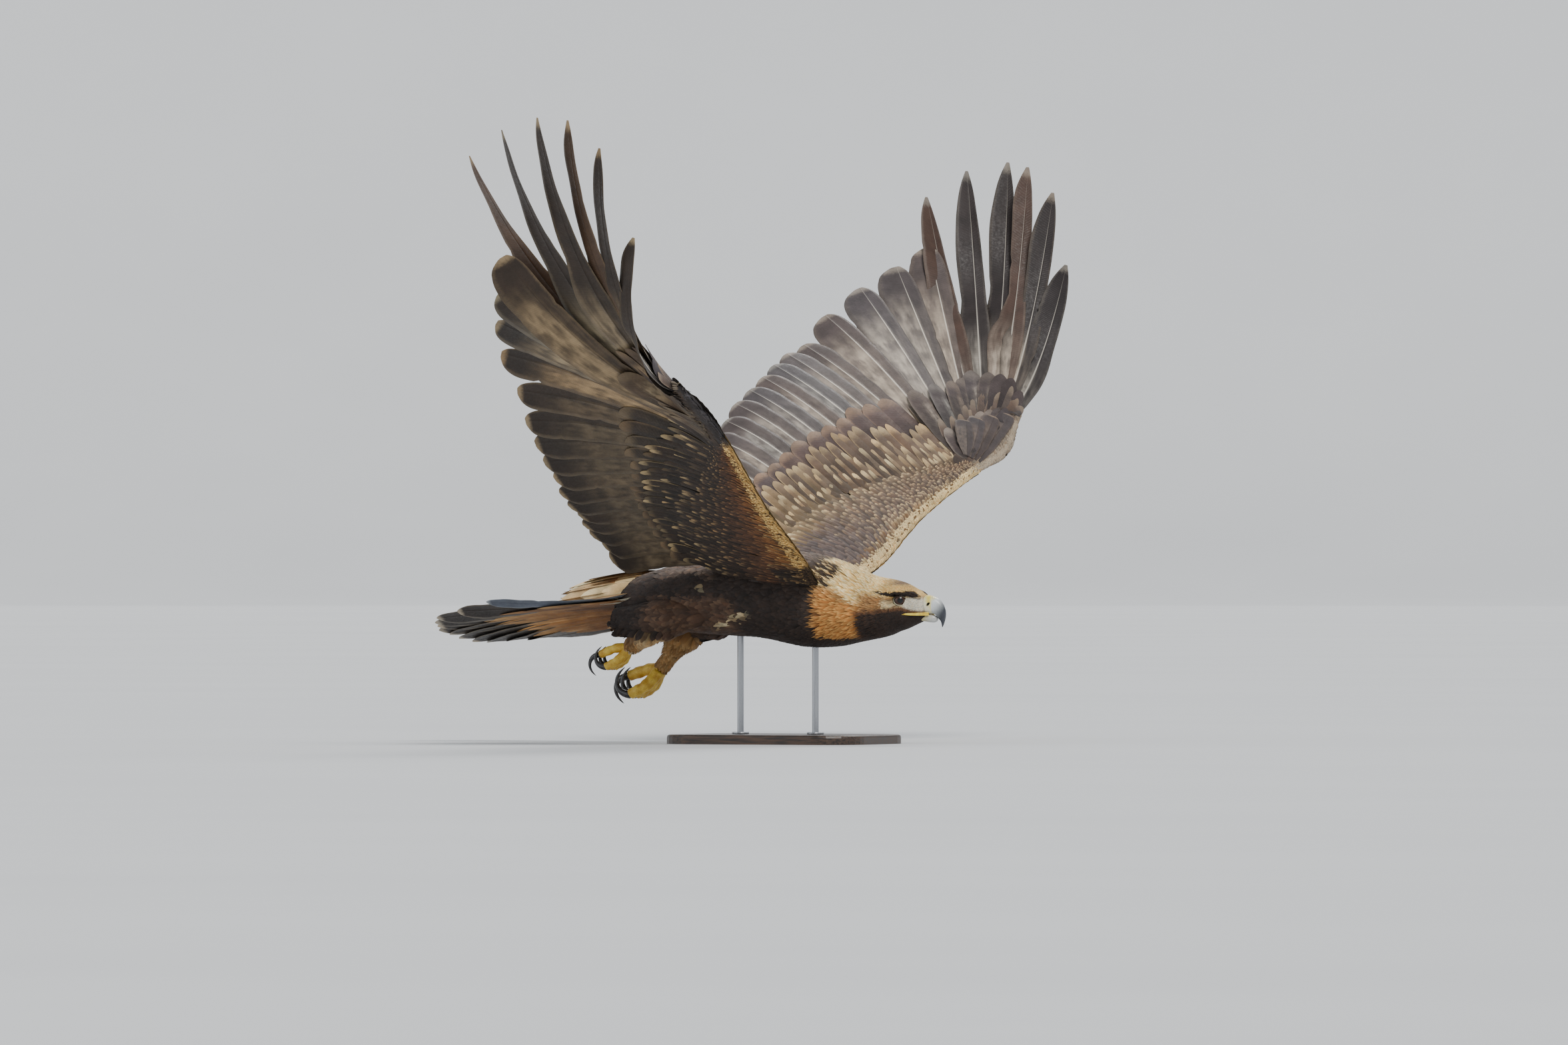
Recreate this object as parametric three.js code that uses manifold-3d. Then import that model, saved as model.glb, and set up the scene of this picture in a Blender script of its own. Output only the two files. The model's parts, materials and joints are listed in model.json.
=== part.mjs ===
// Golden eagle in level flight, a still life-size museum model on a low stand.
// Millimetres, +X towards the bill, +Y towards the bird's left wing tip, +Z up.
// The origin is the centre of the stand's underside.
import * as THREE from "three";
import Module from "manifold-3d";

const wasm = await Module();
wasm.setup();
const { Manifold, Mesh } = wasm;
const at = (x, y, z) => new THREE.Vector3(x, y, z);

// Fits and thicknesses.
const GAP = 0.35;
const FLIGHT_VANE = 1.2;
const COVERT_VANE = 1.0;
const SHINGLE = 0.075;
const HAND_SHINGLE = 0.13;
const TAIL_SHINGLE = 0.15;
const SEED = 41;

// Stand.
const BASE_LENGTH = 320;
const BASE_WIDTH = 240;
const BASE_THICK = 14;
const BASE_CORNER = 60;
const ROD_RADIUS = 5;
const ROD_FRONT_X = 52;
const ROD_REAR_X = -72;
const ROD_TOP = 176;

// Feather counts.
const PRIMARIES = 10;
const SECONDARIES = 12;
const RECTRICES = 12;
const ALULA = 3;
const ARM_COVERTS = 8;
const ARM_COVERT_ROWS = [[0.5, 6, 31], [0.5, -6, 31], [0.3, 11, 28]];
const HAND_COVERTS = 5;
const HAND_COVERT_HALF = 29;
const FIRST_FINGER = 5;

// Widest half webs of the feathers.
const SECONDARY_OUTER = 26;
const SECONDARY_INNER = 38;
const PRIMARY_OUTER = 21;
const PRIMARY_INNER = 48;
const FINGER_OUTER = 19;
const FINGER_INNER = 36;
const FINGER_TWIST = 0.85;

// Body outline: where the side, front and top views turn. Each row is one station.
const TORSO = [
  { x: -268, top: 236, bottom: 190, half: 26 },
  { x: -235, top: 252, bottom: 178, half: 44 },
  { x: -180, top: 268, bottom: 169, half: 60 },
  { x: -110, top: 282, bottom: 163, half: 74 },
  { x: -30, top: 290, bottom: 158, half: 84 },
  { x: 40, top: 288, bottom: 145, half: 84 },
  { x: 92, top: 276, bottom: 146, half: 72 },
  { x: 126, top: 263, bottom: 152, half: 58 },
];
const NECK = [
  { x: 126, top: 263, bottom: 152, half: 58 },
  { x: 152, top: 253, bottom: 157, half: 47 },
  { x: 176, top: 249, bottom: 162, half: 39 },
];
const HEAD = [
  { x: 176, top: 249, bottom: 162, half: 39 },
  { x: 190, top: 246, bottom: 168, half: 35.5 },
  { x: 204, top: 241, bottom: 173, half: 32 },
  { x: 218, top: 234, bottom: 179, half: 26 },
  { x: 230, top: 227, bottom: 184, half: 18 },
  { x: 237, top: 222.5, bottom: 186, half: 13.5 },
];

// Eyes.
const EYE_RADIUS = 11.5;
const EYE = at(201, 21.5, 216);
const EYE_LOOK = at(0.45, 0.89, -0.03);
const LID_RADIUS = 9.3;
const LID_THICK = 1.7;
const SOCKET_RADIUS = 13;

// Bill.
const CERE_X = 236;
const BILL_SIDES = 12;
const GAPE_THICK = 2.3;
const GAPE_BACK = at(202, 27.6, 195);
const NOSTRIL = at(242.5, 11.5, 210);
// Stations of the bill: high point and low point as [x, z], then half the width.
const CERE = [
  [[236.4, 224], [236.4, 194.6], 13],
  [[242, 223.6], [242, 195], 11.8],
  [[248.5, 221.8], [247.5, 195.6], 10.4],
];
const HORN = [
  [[246, 221.6], [246, 196], 10],
  [[254, 219], [253, 194.4], 8.8],
  [[260.4, 214], [257.4, 193.6], 7],
  [[265, 206.4], [259, 190.6], 5.4],
  [[266.8, 198], [259.4, 187], 3.9],
  [[266, 189], [260, 183], 2.6],
  [[263.8, 181.6], [260.4, 179], 1.4],
  [[261.6, 176], [260.4, 175.4], 0.6],
];
const LOWER_HALF = [
  [[236.6, 194.4], [237.5, 183.4], 11],
  [[245, 194.8], [245.5, 182], 9],
  [[252, 194.2], [252.4, 182.6], 6.8],
  [[257.4, 192], [256.8, 184.6], 4.2],
  [[259.4, 189.6], [259, 187], 1.6],
];

// Wing stations run from 0 at the body over 1 at the wrist to 2 at the end of the hand.
const WRIST = 1;
const WING_RIGHT = {
  side: -1,
  leading: [
    [0, at(86, 66, 240)],
    [0.3, at(97, 150, 282)],
    [0.65, at(101, 290, 358)],
    [1, at(111, 432, 447)],
    [1.5, at(117, 530, 494)],
    [2, at(112, 606, 534)],
  ],
  root: [
    [0, at(-72, 66, 262)],
    [0.4, at(-45, 228, 346)],
    [1, at(82, 424, 452)],
    [1.5, at(94, 508, 494)],
    [2, at(100, 588, 526)],
  ],
  tip: [
    [0, at(-238, 92, 264)],
    [0.2, at(-246, 150, 309)],
    [0.45, at(-236, 250, 352)],
    [0.65, at(-226, 345, 402)],
    [0.85, at(-221, 440, 471)],
    [0.98, at(-204, 522, 540)],
    [1.05, at(-194, 571, 582)],
    [1.2, at(-148, 680, 650)],
    [1.35, at(-94, 767, 722)],
    [1.45, at(-132, 805, 868)],
    [1.55, at(-71, 822, 905)],
    [1.65, at(-7, 835, 922)],
    [1.75, at(34, 818, 918)],
    [1.85, at(81, 808, 877)],
    [1.95, at(119, 773, 747)],
  ],
};
const WING_LEFT = {
  side: 1,
  leading: [
    [0, at(86, 66, 240)],
    [0.3, at(97, 150, 275)],
    [0.65, at(96, 290, 342)],
    [1, at(112, 432, 402)],
    [1.5, at(128, 530, 436)],
    [2, at(114, 606, 490)],
  ],
  root: [
    [0, at(-72, 66, 262)],
    [0.4, at(-45, 228, 356)],
    [1, at(82, 424, 424)],
    [1.5, at(95, 508, 460)],
    [2, at(101, 588, 488)],
  ],
  tip: [
    [0, at(-236, 92, 300)],
    [0.2, at(-240, 165, 395)],
    [0.45, at(-232, 270, 484)],
    [0.65, at(-224, 360, 541)],
    [0.85, at(-218, 450, 588)],
    [0.98, at(-205, 522, 612)],
    [1.05, at(-196, 571, 650)],
    [1.2, at(-158, 680, 712)],
    [1.35, at(-111, 767, 757)],
    [1.45, at(-132, 805, 835)],
    [1.55, at(-71, 822, 875)],
    [1.65, at(-7, 835, 888)],
    [1.75, at(34, 818, 880)],
    [1.85, at(81, 808, 840)],
    [1.95, at(119, 773, 728)],
  ],
};

// How far to either side a feather's level is read, in stations.
const LEVEL_SPAN = 0.12;

// How far the middles of the feathers stand off the straight line from root to tip.
const ARM_BOW = at(0, 0, 14);
const HAND_BOW = at(-16, 44, -34);

// Tail stations run from -1 at the right outer feather to 1 at the left outer feather.
const TAIL = {
  root: [
    [-1, at(-226, -30, 226)],
    [0, at(-232, 0, 214)],
    [1, at(-226, 30, 200)],
  ],
  tip: [
    [-1, at(-452, -90, 213)],
    [-0.7, at(-538, -66, 191)],
    [0, at(-570, 0, 166)],
    [0.5, at(-544, 56, 151)],
    [1, at(-468, 92, 156)],
  ],
};

// Legs: near stands for the right one, far for the left one.
const LEG_RIGHT = {
  side: -1,
  y: 50,
  knee: at(-95, 0, 200),
  heel: at(-258, 0, 184),
  ankle: at(-194, 0, 180),
  foot: at(-234, 0, 143),
  toeLift: 0.76,
};
const LEG_LEFT = {
  side: 1,
  y: 48,
  knee: at(-95, 0, 200),
  heel: at(-178, 0, 178),
  ankle: at(-176, 0, 176),
  foot: at(-228, 0, 110),
  toeLift: 1,
};

// Seeded random numbers, so that every feather varies and the part stays the same.
let seedState = SEED;
function random() {
  seedState = (seedState * 1664525 + 1013904223) % 4294967296;
  return seedState / 4294967296;
}
const vary = (amount) => 1 + (random() - 0.5) * 2 * amount;
const mix = (a, b, t) => a + (b - a) * t;
const clamp01 = (t) => Math.min(1, Math.max(0, t));
const ease = (t) => clamp01(t) ** 2 * (3 - 2 * clamp01(t));

// A closed solid from points and triangles, turned to face out.
function solid(points, faces) {
  const flat = new Float32Array(points.length * 3);
  points.forEach((p, i) => flat.set([p.x, p.y, p.z], 3 * i));
  let volume = 0;
  for (const [a, b, c] of faces) {
    volume += points[a].dot(points[b].clone().cross(points[c]));
  }
  const order = faces.flatMap(([a, b, c]) => (volume > 0 ? [a, b, c] : [a, c, b]));
  const triVerts = new Uint32Array(order);
  return new Manifold(new Mesh({ numProp: 3, vertProperties: flat, triVerts }));
}

const join = (list) => list.reduce((whole, next) => whole.add(next));

function largest(made) {
  const bodies = made.decompose();
  return bodies.sort((a, b) => b.volume() - a.volume())[0];
}

// A skin over closed rings of equal count, with a fan at either end.
function loft(rings) {
  const count = rings[0].length;
  const points = rings.flat();
  const faces = [];
  for (let i = 0; i + 1 < rings.length; i++) {
    for (let j = 0; j < count; j++) {
      const a = i * count + j;
      const b = i * count + ((j + 1) % count);
      faces.push([a, b, b + count], [a, b + count, a + count]);
    }
  }
  for (const [ring, turned] of [[0, true], [rings.length - 1, false]]) {
    const centre = rings[ring].reduce((s, p) => s.add(p), at(0, 0, 0)).divideScalar(count);
    points.push(centre);
    for (let j = 0; j < count; j++) {
      const a = ring * count + j;
      const b = ring * count + ((j + 1) % count);
      faces.push(turned ? [b, a, points.length - 1] : [a, b, points.length - 1]);
    }
  }
  return solid(points, faces);
}

// A round tube along a path, its radius read from a function of the path's fraction.
function tube(path, radius, steps, sides, flatness = 1) {
  const curve = new THREE.CatmullRomCurve3(path);
  const rings = [];
  let side = at(0, 1, 0);
  for (let i = 0; i <= steps; i++) {
    const t = i / steps;
    const tangent = curve.getTangent(t);
    side = side.clone().addScaledVector(tangent, -side.dot(tangent)).normalize();
    const up = tangent.clone().cross(side);
    const centre = curve.getPoint(t);
    rings.push(
      Array.from({ length: sides }, (_, j) => {
        const angle = (j / sides) * 2 * Math.PI;
        return centre
          .clone()
          .addScaledVector(side, Math.cos(angle) * radius(t) * flatness)
          .addScaledVector(up, Math.sin(angle) * radius(t));
      }),
    );
  }
  return loft(rings);
}

// A smooth value between knots [place, value], for numbers or points.
function along(knots, place) {
  let i = 0;
  while (i + 2 < knots.length && place > knots[i + 1][0]) i++;
  const [a, p] = knots[i];
  const [b, q] = knots[i + 1];
  const before = knots[Math.max(0, i - 1)];
  const after = knots[Math.min(knots.length - 1, i + 2)];
  const span = b - a;
  const t = (place - a) / span;
  const slopeIn = q.clone().sub(before[1]).divideScalar(b - before[0]);
  const slopeOut = after[1].clone().sub(p).divideScalar(after[0] - a);
  const t2 = t * t;
  const t3 = t2 * t;
  return p
    .clone()
    .multiplyScalar(2 * t3 - 3 * t2 + 1)
    .addScaledVector(slopeIn, (t3 - 2 * t2 + t) * span)
    .addScaledVector(q, 3 * t2 - 2 * t3)
    .addScaledVector(slopeOut, (t3 - t2) * span);
}

// Rings of the body from its side and top outlines, stood on the X axis.
function bodyRings(stations, steps, sides, grow = 0) {
  const keys = ["top", "bottom", "half"];
  const knots = stations.map((s) => [s.x, at(...keys.map((k) => s[k]))]);
  const first = stations[0].x;
  const last = stations[stations.length - 1].x;
  return Array.from({ length: steps + 1 }, (_, i) => {
    const x = mix(first - grow, last + grow, i / steps);
    const row = along(knots, Math.min(last, Math.max(first, x)));
    return Array.from({ length: sides }, (_, j) => {
      const angle = (j / sides) * 2 * Math.PI;
      const rise = Math.sin(angle);
      const centre = (row.x + row.y) / 2;
      const high = (row.x - row.y) / 2 + grow;
      const wide = (row.z + grow) * Math.sign(Math.cos(angle));
      return at(x, wide * Math.abs(Math.cos(angle)) ** 0.92, centre + high * rise);
    });
  });
}

// The surface that the feathers of a wing or tail lie on, by station and fraction out.
function sheet(plan, bow) {
  const side = plan.side ?? 1;
  const flip = (p) => at(p.x, p.y * side, p.z);
  const point = (u, t) => {
    const root = along(plan.root, u);
    const tip = along(plan.tip, u);
    const p = root.lerp(tip, t);
    return flip(p.addScaledVector(bow(u), 4 * t * (1 - t)));
  };
  const frame = (u, t) => {
    const step = 0.004;
    const run = point(u, t + step).sub(point(u, t - step)).normalize();
    const low = Math.max(plan.tip[0][0], u - LEVEL_SPAN);
    const high = Math.min(plan.tip[plan.tip.length - 1][0], u + LEVEL_SPAN);
    const over = point(high, t).sub(point(low, t));
    const across = over.addScaledVector(run, -over.dot(run)).normalize();
    const up = across.clone().cross(run).multiplyScalar(side).normalize();
    return { centre: point(u, t), run, across, up };
  };
  return { point, frame, side, flip };
}

// One vane: a thin blade that follows a sheet, its outer web lying higher than its inner.
function vane(surface, f) {
  const points = [];
  for (const [s, width] of f.rows) {
    const t = mix(f.from, f.to, s);
    const { centre, run, across, up } = surface.frame(f.u, t);
    const twist = (f.twist ?? 0) * ease((s - 0.48) / 0.4) * surface.side;
    const wide = across.clone().applyAxisAngle(run, twist);
    const high = up.clone().applyAxisAngle(run, twist);
    const lift = mix(f.liftRoot ?? 0, f.liftTip ?? 0, ease(s));
    let outer = f.outer * width;
    let inner = f.inner * width;
    if (f.apart !== undefined && s >= f.apart) {
      const next = surface.point(Math.min(f.u + f.pitch, f.lastU), t).distanceTo(centre);
      const before = surface.point(f.u - f.pitch, t).distanceTo(centre);
      const free = f.u + f.pitch > f.lastU ? outer : next / 2 - GAP;
      outer = Math.max(0.6, Math.min(outer, free));
      inner = Math.max(0.6, Math.min(inner, before / 2 - GAP));
    }
    if (f.edge !== undefined) {
      const room = surface.point(f.edge, t).sub(centre).dot(wide);
      if (f.edge > f.u) outer = Math.max(0.6, Math.min(outer, room - GAP));
      else inner = Math.max(0.6, Math.min(inner, -room - GAP));
    }
    const thick = f.thick * (s > 0.97 ? 0.6 : 1);
    for (const [reach, half] of [[outer, 1], [-inner, 1], [-inner, -1], [outer, -1]]) {
      points.push(
        centre
          .clone()
          .addScaledVector(wide, reach)
          .addScaledVector(high, lift + reach * f.tilt + (half * thick) / 2),
      );
    }
  }
  const faces = [];
  const last = f.rows.length - 1;
  for (let i = 0; i < last; i++) {
    const a = 4 * i;
    faces.push([a, a + 1, a + 5], [a, a + 5, a + 4]);
    faces.push([a + 3, a + 7, a + 6], [a + 3, a + 6, a + 2]);
    faces.push([a + 1, a + 2, a + 6], [a + 1, a + 6, a + 5]);
    faces.push([a, a + 4, a + 7], [a, a + 7, a + 3]);
  }
  const e = 4 * last;
  faces.push([0, 3, 2], [0, 2, 1], [e, e + 1, e + 2], [e, e + 2, e + 3]);
  return solid(points, faces);
}

// Widths along a vane, from its root to its tip.
const ROUND_TIP = [[0, 0.2], [0.3, 0.8], [0.86, 1], [0.96, 0.74], [1, 0.34]];
const COVERT_TIP = [[0, 0.35], [0.8, 1], [1, 0.42]];
const FINGER_TIP = [[0, 0.2], [0.44, 1.05], [0.58, 0.84], [0.82, 0.76], [0.95, 0.42], [1, 0.1]];

// The flesh of a wing: rings from the leading edge back over the feather roots.
function wingCore(plan, surface, from, to, steps) {
  const sides = 8;
  const rings = [];
  for (let i = 0; i <= steps; i++) {
    const u = mix(from, to, i / steps);
    const front = surface.flip(along(plan.leading, u));
    const root = surface.point(u, 0);
    const back = surface.point(u, u < WRIST ? 0.16 : 0.07);
    const chord = new THREE.CatmullRomCurve3([front, root, back]);
    const { up } = surface.frame(Math.min(u, 1.99), 0.02);
    const fat = mix(15, 7, ease(u / 1.3)) * (u > 1.85 ? 0.7 : 1);
    const ring = [];
    for (let j = 0; j < sides; j++) {
      const angle = (j / sides) * 2 * Math.PI;
      const f = (1 - Math.cos(angle)) / 2;
      const half = fat * (0.22 * f + Math.sin(Math.PI * f ** 0.62));
      const lift = Math.sign(Math.sin(angle)) * half;
      const over = Math.abs(Math.sin(angle)) < 1e-6 ? 0 : lift;
      ring.push(chord.getPoint(f).addScaledVector(up, over));
    }
    rings.push(ring);
  }
  return loft(rings);
}

const featherPlace = (i, count, from, to) => mix(from, to, (i + 0.5) / count);

function wing(plan) {
  const bow = (u) => ARM_BOW.clone().lerp(HAND_BOW, ease((u - 1) / 0.6));
  const surface = sheet(plan, bow);
  const inner = [wingCore(plan, surface, 0, WRIST - 0.003, 7)];
  const outer = [wingCore(plan, surface, WRIST + 0.003, 2, 5)];
  for (let i = 0; i < SECONDARIES; i++) {
    const u = featherPlace(i, SECONDARIES, 0.01, WRIST);
    inner.push(
      vane(surface, {
        u,
        from: 0.03,
        to: vary(0.012),
        rows: ROUND_TIP,
        outer: i === SECONDARIES - 1 ? SECONDARY_INNER : SECONDARY_OUTER,
        inner: SECONDARY_INNER,
        tilt: SHINGLE,
        thick: FLIGHT_VANE,
        edge: i > SECONDARIES - 4 ? WRIST : undefined,
      }),
    );
  }
  for (const [reach, lift, wide] of ARM_COVERT_ROWS) {
    for (let i = 0; i < ARM_COVERTS; i++) {
      inner.push(
        vane(surface, {
          u: featherPlace(i, ARM_COVERTS, 0.02, WRIST - 0.01),
          from: 0.04,
          to: reach * vary(0.05),
          rows: COVERT_TIP,
          outer: wide * 0.8,
          inner: wide,
          tilt: SHINGLE,
          thick: COVERT_VANE,
          liftRoot: lift * 0.9,
          liftTip: lift,
          edge: i > ARM_COVERTS - 4 ? WRIST : undefined,
        }),
      );
    }
  }
  for (let i = 0; i < PRIMARIES; i++) {
    const u = featherPlace(i, PRIMARIES, WRIST, 2);
    const finger = i + 1 >= FIRST_FINGER;
    outer.push(
      vane(surface, {
        u,
        from: 0.02,
        to: 1,
        rows: finger ? FINGER_TIP : ROUND_TIP,
        outer: finger ? FINGER_OUTER : PRIMARY_OUTER,
        inner: finger ? FINGER_INNER : PRIMARY_INNER,
        tilt: HAND_SHINGLE,
        twist: finger ? FINGER_TWIST : 0,
        apart: i >= FIRST_FINGER - 2 ? 0.5 : undefined,
        pitch: 1 / PRIMARIES,
        lastU: 2 - 0.5 / PRIMARIES,
        thick: FLIGHT_VANE,
        edge: i < 3 ? WRIST : undefined,
      }),
    );
  }
  for (const lift of [7.5, -7.5]) {
    for (let i = 0; i < HAND_COVERTS; i++) {
      outer.push(
        vane(surface, {
          u: featherPlace(i, HAND_COVERTS, WRIST + 0.02, 1.8),
          from: 0.02,
          to: 0.36 * vary(0.04),
          rows: COVERT_TIP,
          outer: HAND_COVERT_HALF * 0.8,
          inner: HAND_COVERT_HALF,
          tilt: HAND_SHINGLE,
          apart: 0,
          pitch: 0.8 / HAND_COVERTS,
          lastU: 2 - 0.5 / PRIMARIES,
          thick: COVERT_VANE,
          liftRoot: lift * 0.9,
          liftTip: lift,
          edge: i < 3 ? WRIST : undefined,
        }),
      );
    }
  }
  // The thumb's fan lies over the back of the hand, f back from its leading edge.
  const onHand = (u, f, rise) => {
    const { up } = surface.frame(u, 0.02);
    const spot = along(plan.leading, u).lerp(along(plan.root, u), f);
    return spot.add(at(up.x, up.y * plan.side, up.z).multiplyScalar(rise));
  };
  const thumb = sheet(
    {
      side: plan.side,
      root: [[0, onHand(1.06, 0.75, 11)], [1, onHand(1.09, 0.3, 6)]],
      tip: [[0, onHand(1.5, 1.7, 13)], [1, onHand(1.9, 0.5, 6)]],
    },
    () => at(2, 0, 2),
  );
  for (let i = 0; i < ALULA; i++) {
    outer.push(
      vane(thumb, {
        u: featherPlace(i, ALULA, 0, 1),
        from: 0,
        to: 0.88 + 0.05 * i,
        rows: ROUND_TIP,
        outer: 9,
        inner: 13,
        tilt: 0.2,
        thick: COVERT_VANE,
      }),
    );
  }
  const wall = [];
  for (let i = 0; i <= 8; i++) {
    const { centre, across, up } = surface.frame(WRIST, mix(-0.2, 1.15, i / 8));
    wall.push(
      [[1, 70], [-1, 70], [-1, -70], [1, -70]].map(([a, b]) =>
        centre.clone().addScaledVector(across, a * GAP * 0.6).addScaledVector(up, b),
      ),
    );
  }
  return { inner, outer, wall: loft(wall) };
}

function tail() {
  const surface = sheet(TAIL, (u) => at(0, 0, -12 * u * u + 4));
  const parts = [];
  for (let i = 0; i < RECTRICES; i++) {
    const u = featherPlace(i, RECTRICES, -1.08, 1.08);
    const hand = u < 0 ? -1 : 1;
    const offCentre = Math.abs(u);
    parts.push(
      vane(surface, {
        u,
        from: 0.01,
        to: vary(0.008),
        rows: ROUND_TIP,
        outer: hand > 0 ? 20 : 26,
        inner: hand > 0 ? 26 : 20,
        tilt: hand * TAIL_SHINGLE,
        thick: FLIGHT_VANE,
        liftTip: hand > 0 ? -2 * (1 - offCentre) : 0,
      }),
    );
  }
  for (const [reach, lift, count] of [[0.5, -9, 5], [0.36, 9, 4]]) {
    for (let i = 0; i < count; i++) {
      const u = featherPlace(i, count, -0.85, 0.85);
      parts.push(
        vane(surface, {
          u,
          from: 0,
          to: reach * vary(0.08) * (1 - 0.2 * u * u),
          rows: COVERT_TIP,
          outer: 16,
          inner: 16,
          tilt: (u < 0 ? -1 : 1) * TAIL_SHINGLE,
          thick: COVERT_VANE,
          liftRoot: lift,
          liftTip: lift * 0.9,
        }),
      );
    }
  }
  const core = [];
  for (let i = 0; i <= 6; i++) {
    const t = mix(-0.06, 0.3, i / 6);
    const left = surface.point(mix(0.9, 0.75, i / 6), t);
    const right = surface.point(mix(-0.9, -0.75, i / 6), t);
    const middle = surface.point(0, t);
    const fat = mix(17, 3.5, ease(i / 6));
    const ring = [];
    for (let j = 0; j < 10; j++) {
      const angle = (j / 10) * 2 * Math.PI;
      const f = (1 - Math.cos(angle)) / 2;
      const flat = right.clone().lerp(left, f);
      const arch = middle.z - (left.z + right.z) / 2;
      flat.z += arch * Math.sin(Math.PI * f) + Math.sin(angle) * fat;
      ring.push(flat);
    }
    core.push(ring);
  }
  parts.push(loft(core));
  return join(parts);
}

// Thigh with its trousers, feathered shank, toes and claws of one leg.
function leg(plan, grow = 0) {
  const y = plan.y * plan.side;
  const move = (p) => at(p.x, y, p.z);
  const knee = move(plan.knee);
  const heel = move(plan.heel);
  const ankle = move(plan.ankle);
  const foot = move(plan.foot);
  const middle = knee.clone().lerp(heel, 0.55).add(at(0, 0, -4));
  const girth = (t) => mix(40, 21, ease(t)) * (t < 0.02 ? 0.6 : 1);
  const thigh = tube([knee, middle, heel], (t) => girth(t) + grow, 6, 10);
  const shank = tube([ankle, foot], (t) => mix(26, 13.5, ease(t * 1.3)) + grow, 5, 10);
  const toes = [];
  const claws = [];
  const size = plan.toeLift;
  for (const [splay, isHind] of [[0, true], [-1, false], [0, false], [1, false]]) {
    const out = isHind ? 10 * plan.side : splay * 20 * size;
    const start = foot.clone();
    const drop = isHind ? 0 : -26 * size;
    const reach = (isHind ? 58 : 42) * size;
    const knuckle = start.clone().add(at(-reach * 0.4, out * 0.7, drop * 0.9));
    const tipPoint = start.clone().add(at(-reach, out, drop * 1.45 - (isHind ? 10 : 0)));
    toes.push(tube([start, knuckle, tipPoint], (t) => mix(11, 8.5, t) * size + grow, 4, 8));
    const turn = isHind ? -1 : 1;
    const path = [
      tipPoint.clone(),
      tipPoint.clone().add(at(-17 * size, 0, turn * 6 * size)),
      tipPoint.clone().add(at(-22 * size, 0, turn * 24 * size)),
      tipPoint.clone().add(at(-7 * size, 0, turn * 42 * size)),
    ];
    claws.push(tube(path, (t) => mix(6.2, 0.5, t ** 0.8) * size, 6, 5, 0.8));
  }
  return { thigh, shank, toes, claws };
}

function stand() {
  const l = BASE_LENGTH / 2 - BASE_CORNER;
  const w = BASE_WIDTH / 2 - BASE_CORNER;
  const points = [];
  for (const [sx, sy, start] of [[1, 1, 0], [-1, 1, 1], [-1, -1, 2], [1, -1, 3]]) {
    for (let i = 0; i <= 8; i++) {
      const angle = ((start + i / 8) * Math.PI) / 2;
      points.push([sx * l + Math.cos(angle) * BASE_CORNER, sy * w + Math.sin(angle) * BASE_CORNER]);
    }
  }
  const ring = (z, inset) =>
    points.map(([x, y]) => {
      const r = Math.hypot(x, y);
      return at(x * (1 - inset / r), y * (1 - inset / r), z);
    });
  const rows = [ring(0, 0), ring(BASE_THICK - 4, 0), ring(BASE_THICK - 1.2, 1.2), ring(BASE_THICK, 4)];
  return loft(rows);
}

const rod = (x, radius, low, high) =>
  tube([at(x, 0, low), at(x, 0, (low + high) / 2), at(x, 0, high)], () => radius, 2, 20);

// Bodies of the trunk.
const torsoWhole = loft(bodyRings(TORSO, 15, 16));
const neckWhole = loft(bodyRings(NECK, 4, 18));
const headWhole = loft(bodyRings(HEAD, 8, 18));
const CUT = { top: 400, bottom: 20, half: 200 };
const cutFront = (x) => loft(bodyRings([{ x, ...CUT }, { x: x + 2 * GAP, ...CUT }], 1, 8));
const standRod = (x) => rod(x, ROD_RADIUS, BASE_THICK + GAP, ROD_TOP);
const socket = (x) => rod(x, ROD_RADIUS + GAP, 60, ROD_TOP + GAP);
const sockets = socket(ROD_FRONT_X).add(socket(ROD_REAR_X));

const nodes = new Map();
const put = (name, made, look) => nodes.set(name, { made, look });

const LOOKS = {
  plumage: [0x4a3423, 0.85],
  nape: [0xb07f3f, 0.85],
  flight: [0x3b3029, 0.7],
  horn: [0x3c444c, 0.35],
  cere: [0xe0b93a, 0.45],
  claw: [0x17171a, 0.3],
  toe: [0xd9b12e, 0.6],
  eye: [0x2b170c, 0.1],
  base: [0x2a2622, 0.5],
  rod: [0x9a9ca0, 0.3, 1],
};

const torso = torsoWhole.subtract(sockets);
const torsoGrown = loft(bodyRings(TORSO, 15, 16, GAP));
put("torso", torso, LOOKS.plumage);
put("neck", largest(neckWhole.subtract(cutFront(126 - GAP))), LOOKS.nape);

function ball(centre, radius, columns, rows) {
  const points = [centre.clone().add(at(0, radius, 0))];
  for (let i = 1; i < rows; i++) {
    const a = (i / rows) * Math.PI;
    for (let j = 0; j < columns; j++) {
      const b = (j / columns) * 2 * Math.PI;
      const r = Math.sin(a) * radius;
      points.push(centre.clone().add(at(r * Math.cos(b), Math.cos(a) * radius, r * Math.sin(b))));
    }
  }
  points.push(centre.clone().add(at(0, -radius, 0)));
  const faces = [];
  const end = points.length - 1;
  for (let j = 0; j < columns; j++) {
    const k = (j + 1) % columns;
    faces.push([0, 1 + j, 1 + k]);
    faces.push([end, end - columns + k, end - columns + j]);
    for (let i = 0; i + 2 < rows; i++) {
      const a = 1 + i * columns;
      faces.push([a + j, a + columns + j, a + columns + k], [a + j, a + columns + k, a + k]);
    }
  }
  return solid(points, faces);
}

// Head: a dished socket with a lid ring, a brow over it, and the line of the mouth.
const gapeLine = (side, y) => [
  at(GAPE_BACK.x, (GAPE_BACK.y + y) * side, GAPE_BACK.z),
  at(215, (26 + y) * side, 194.6),
  at(227, (19.6 + y) * side, 194.6),
  at(CERE_X + 5, 8.5 * side, 196.5),
];

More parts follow.
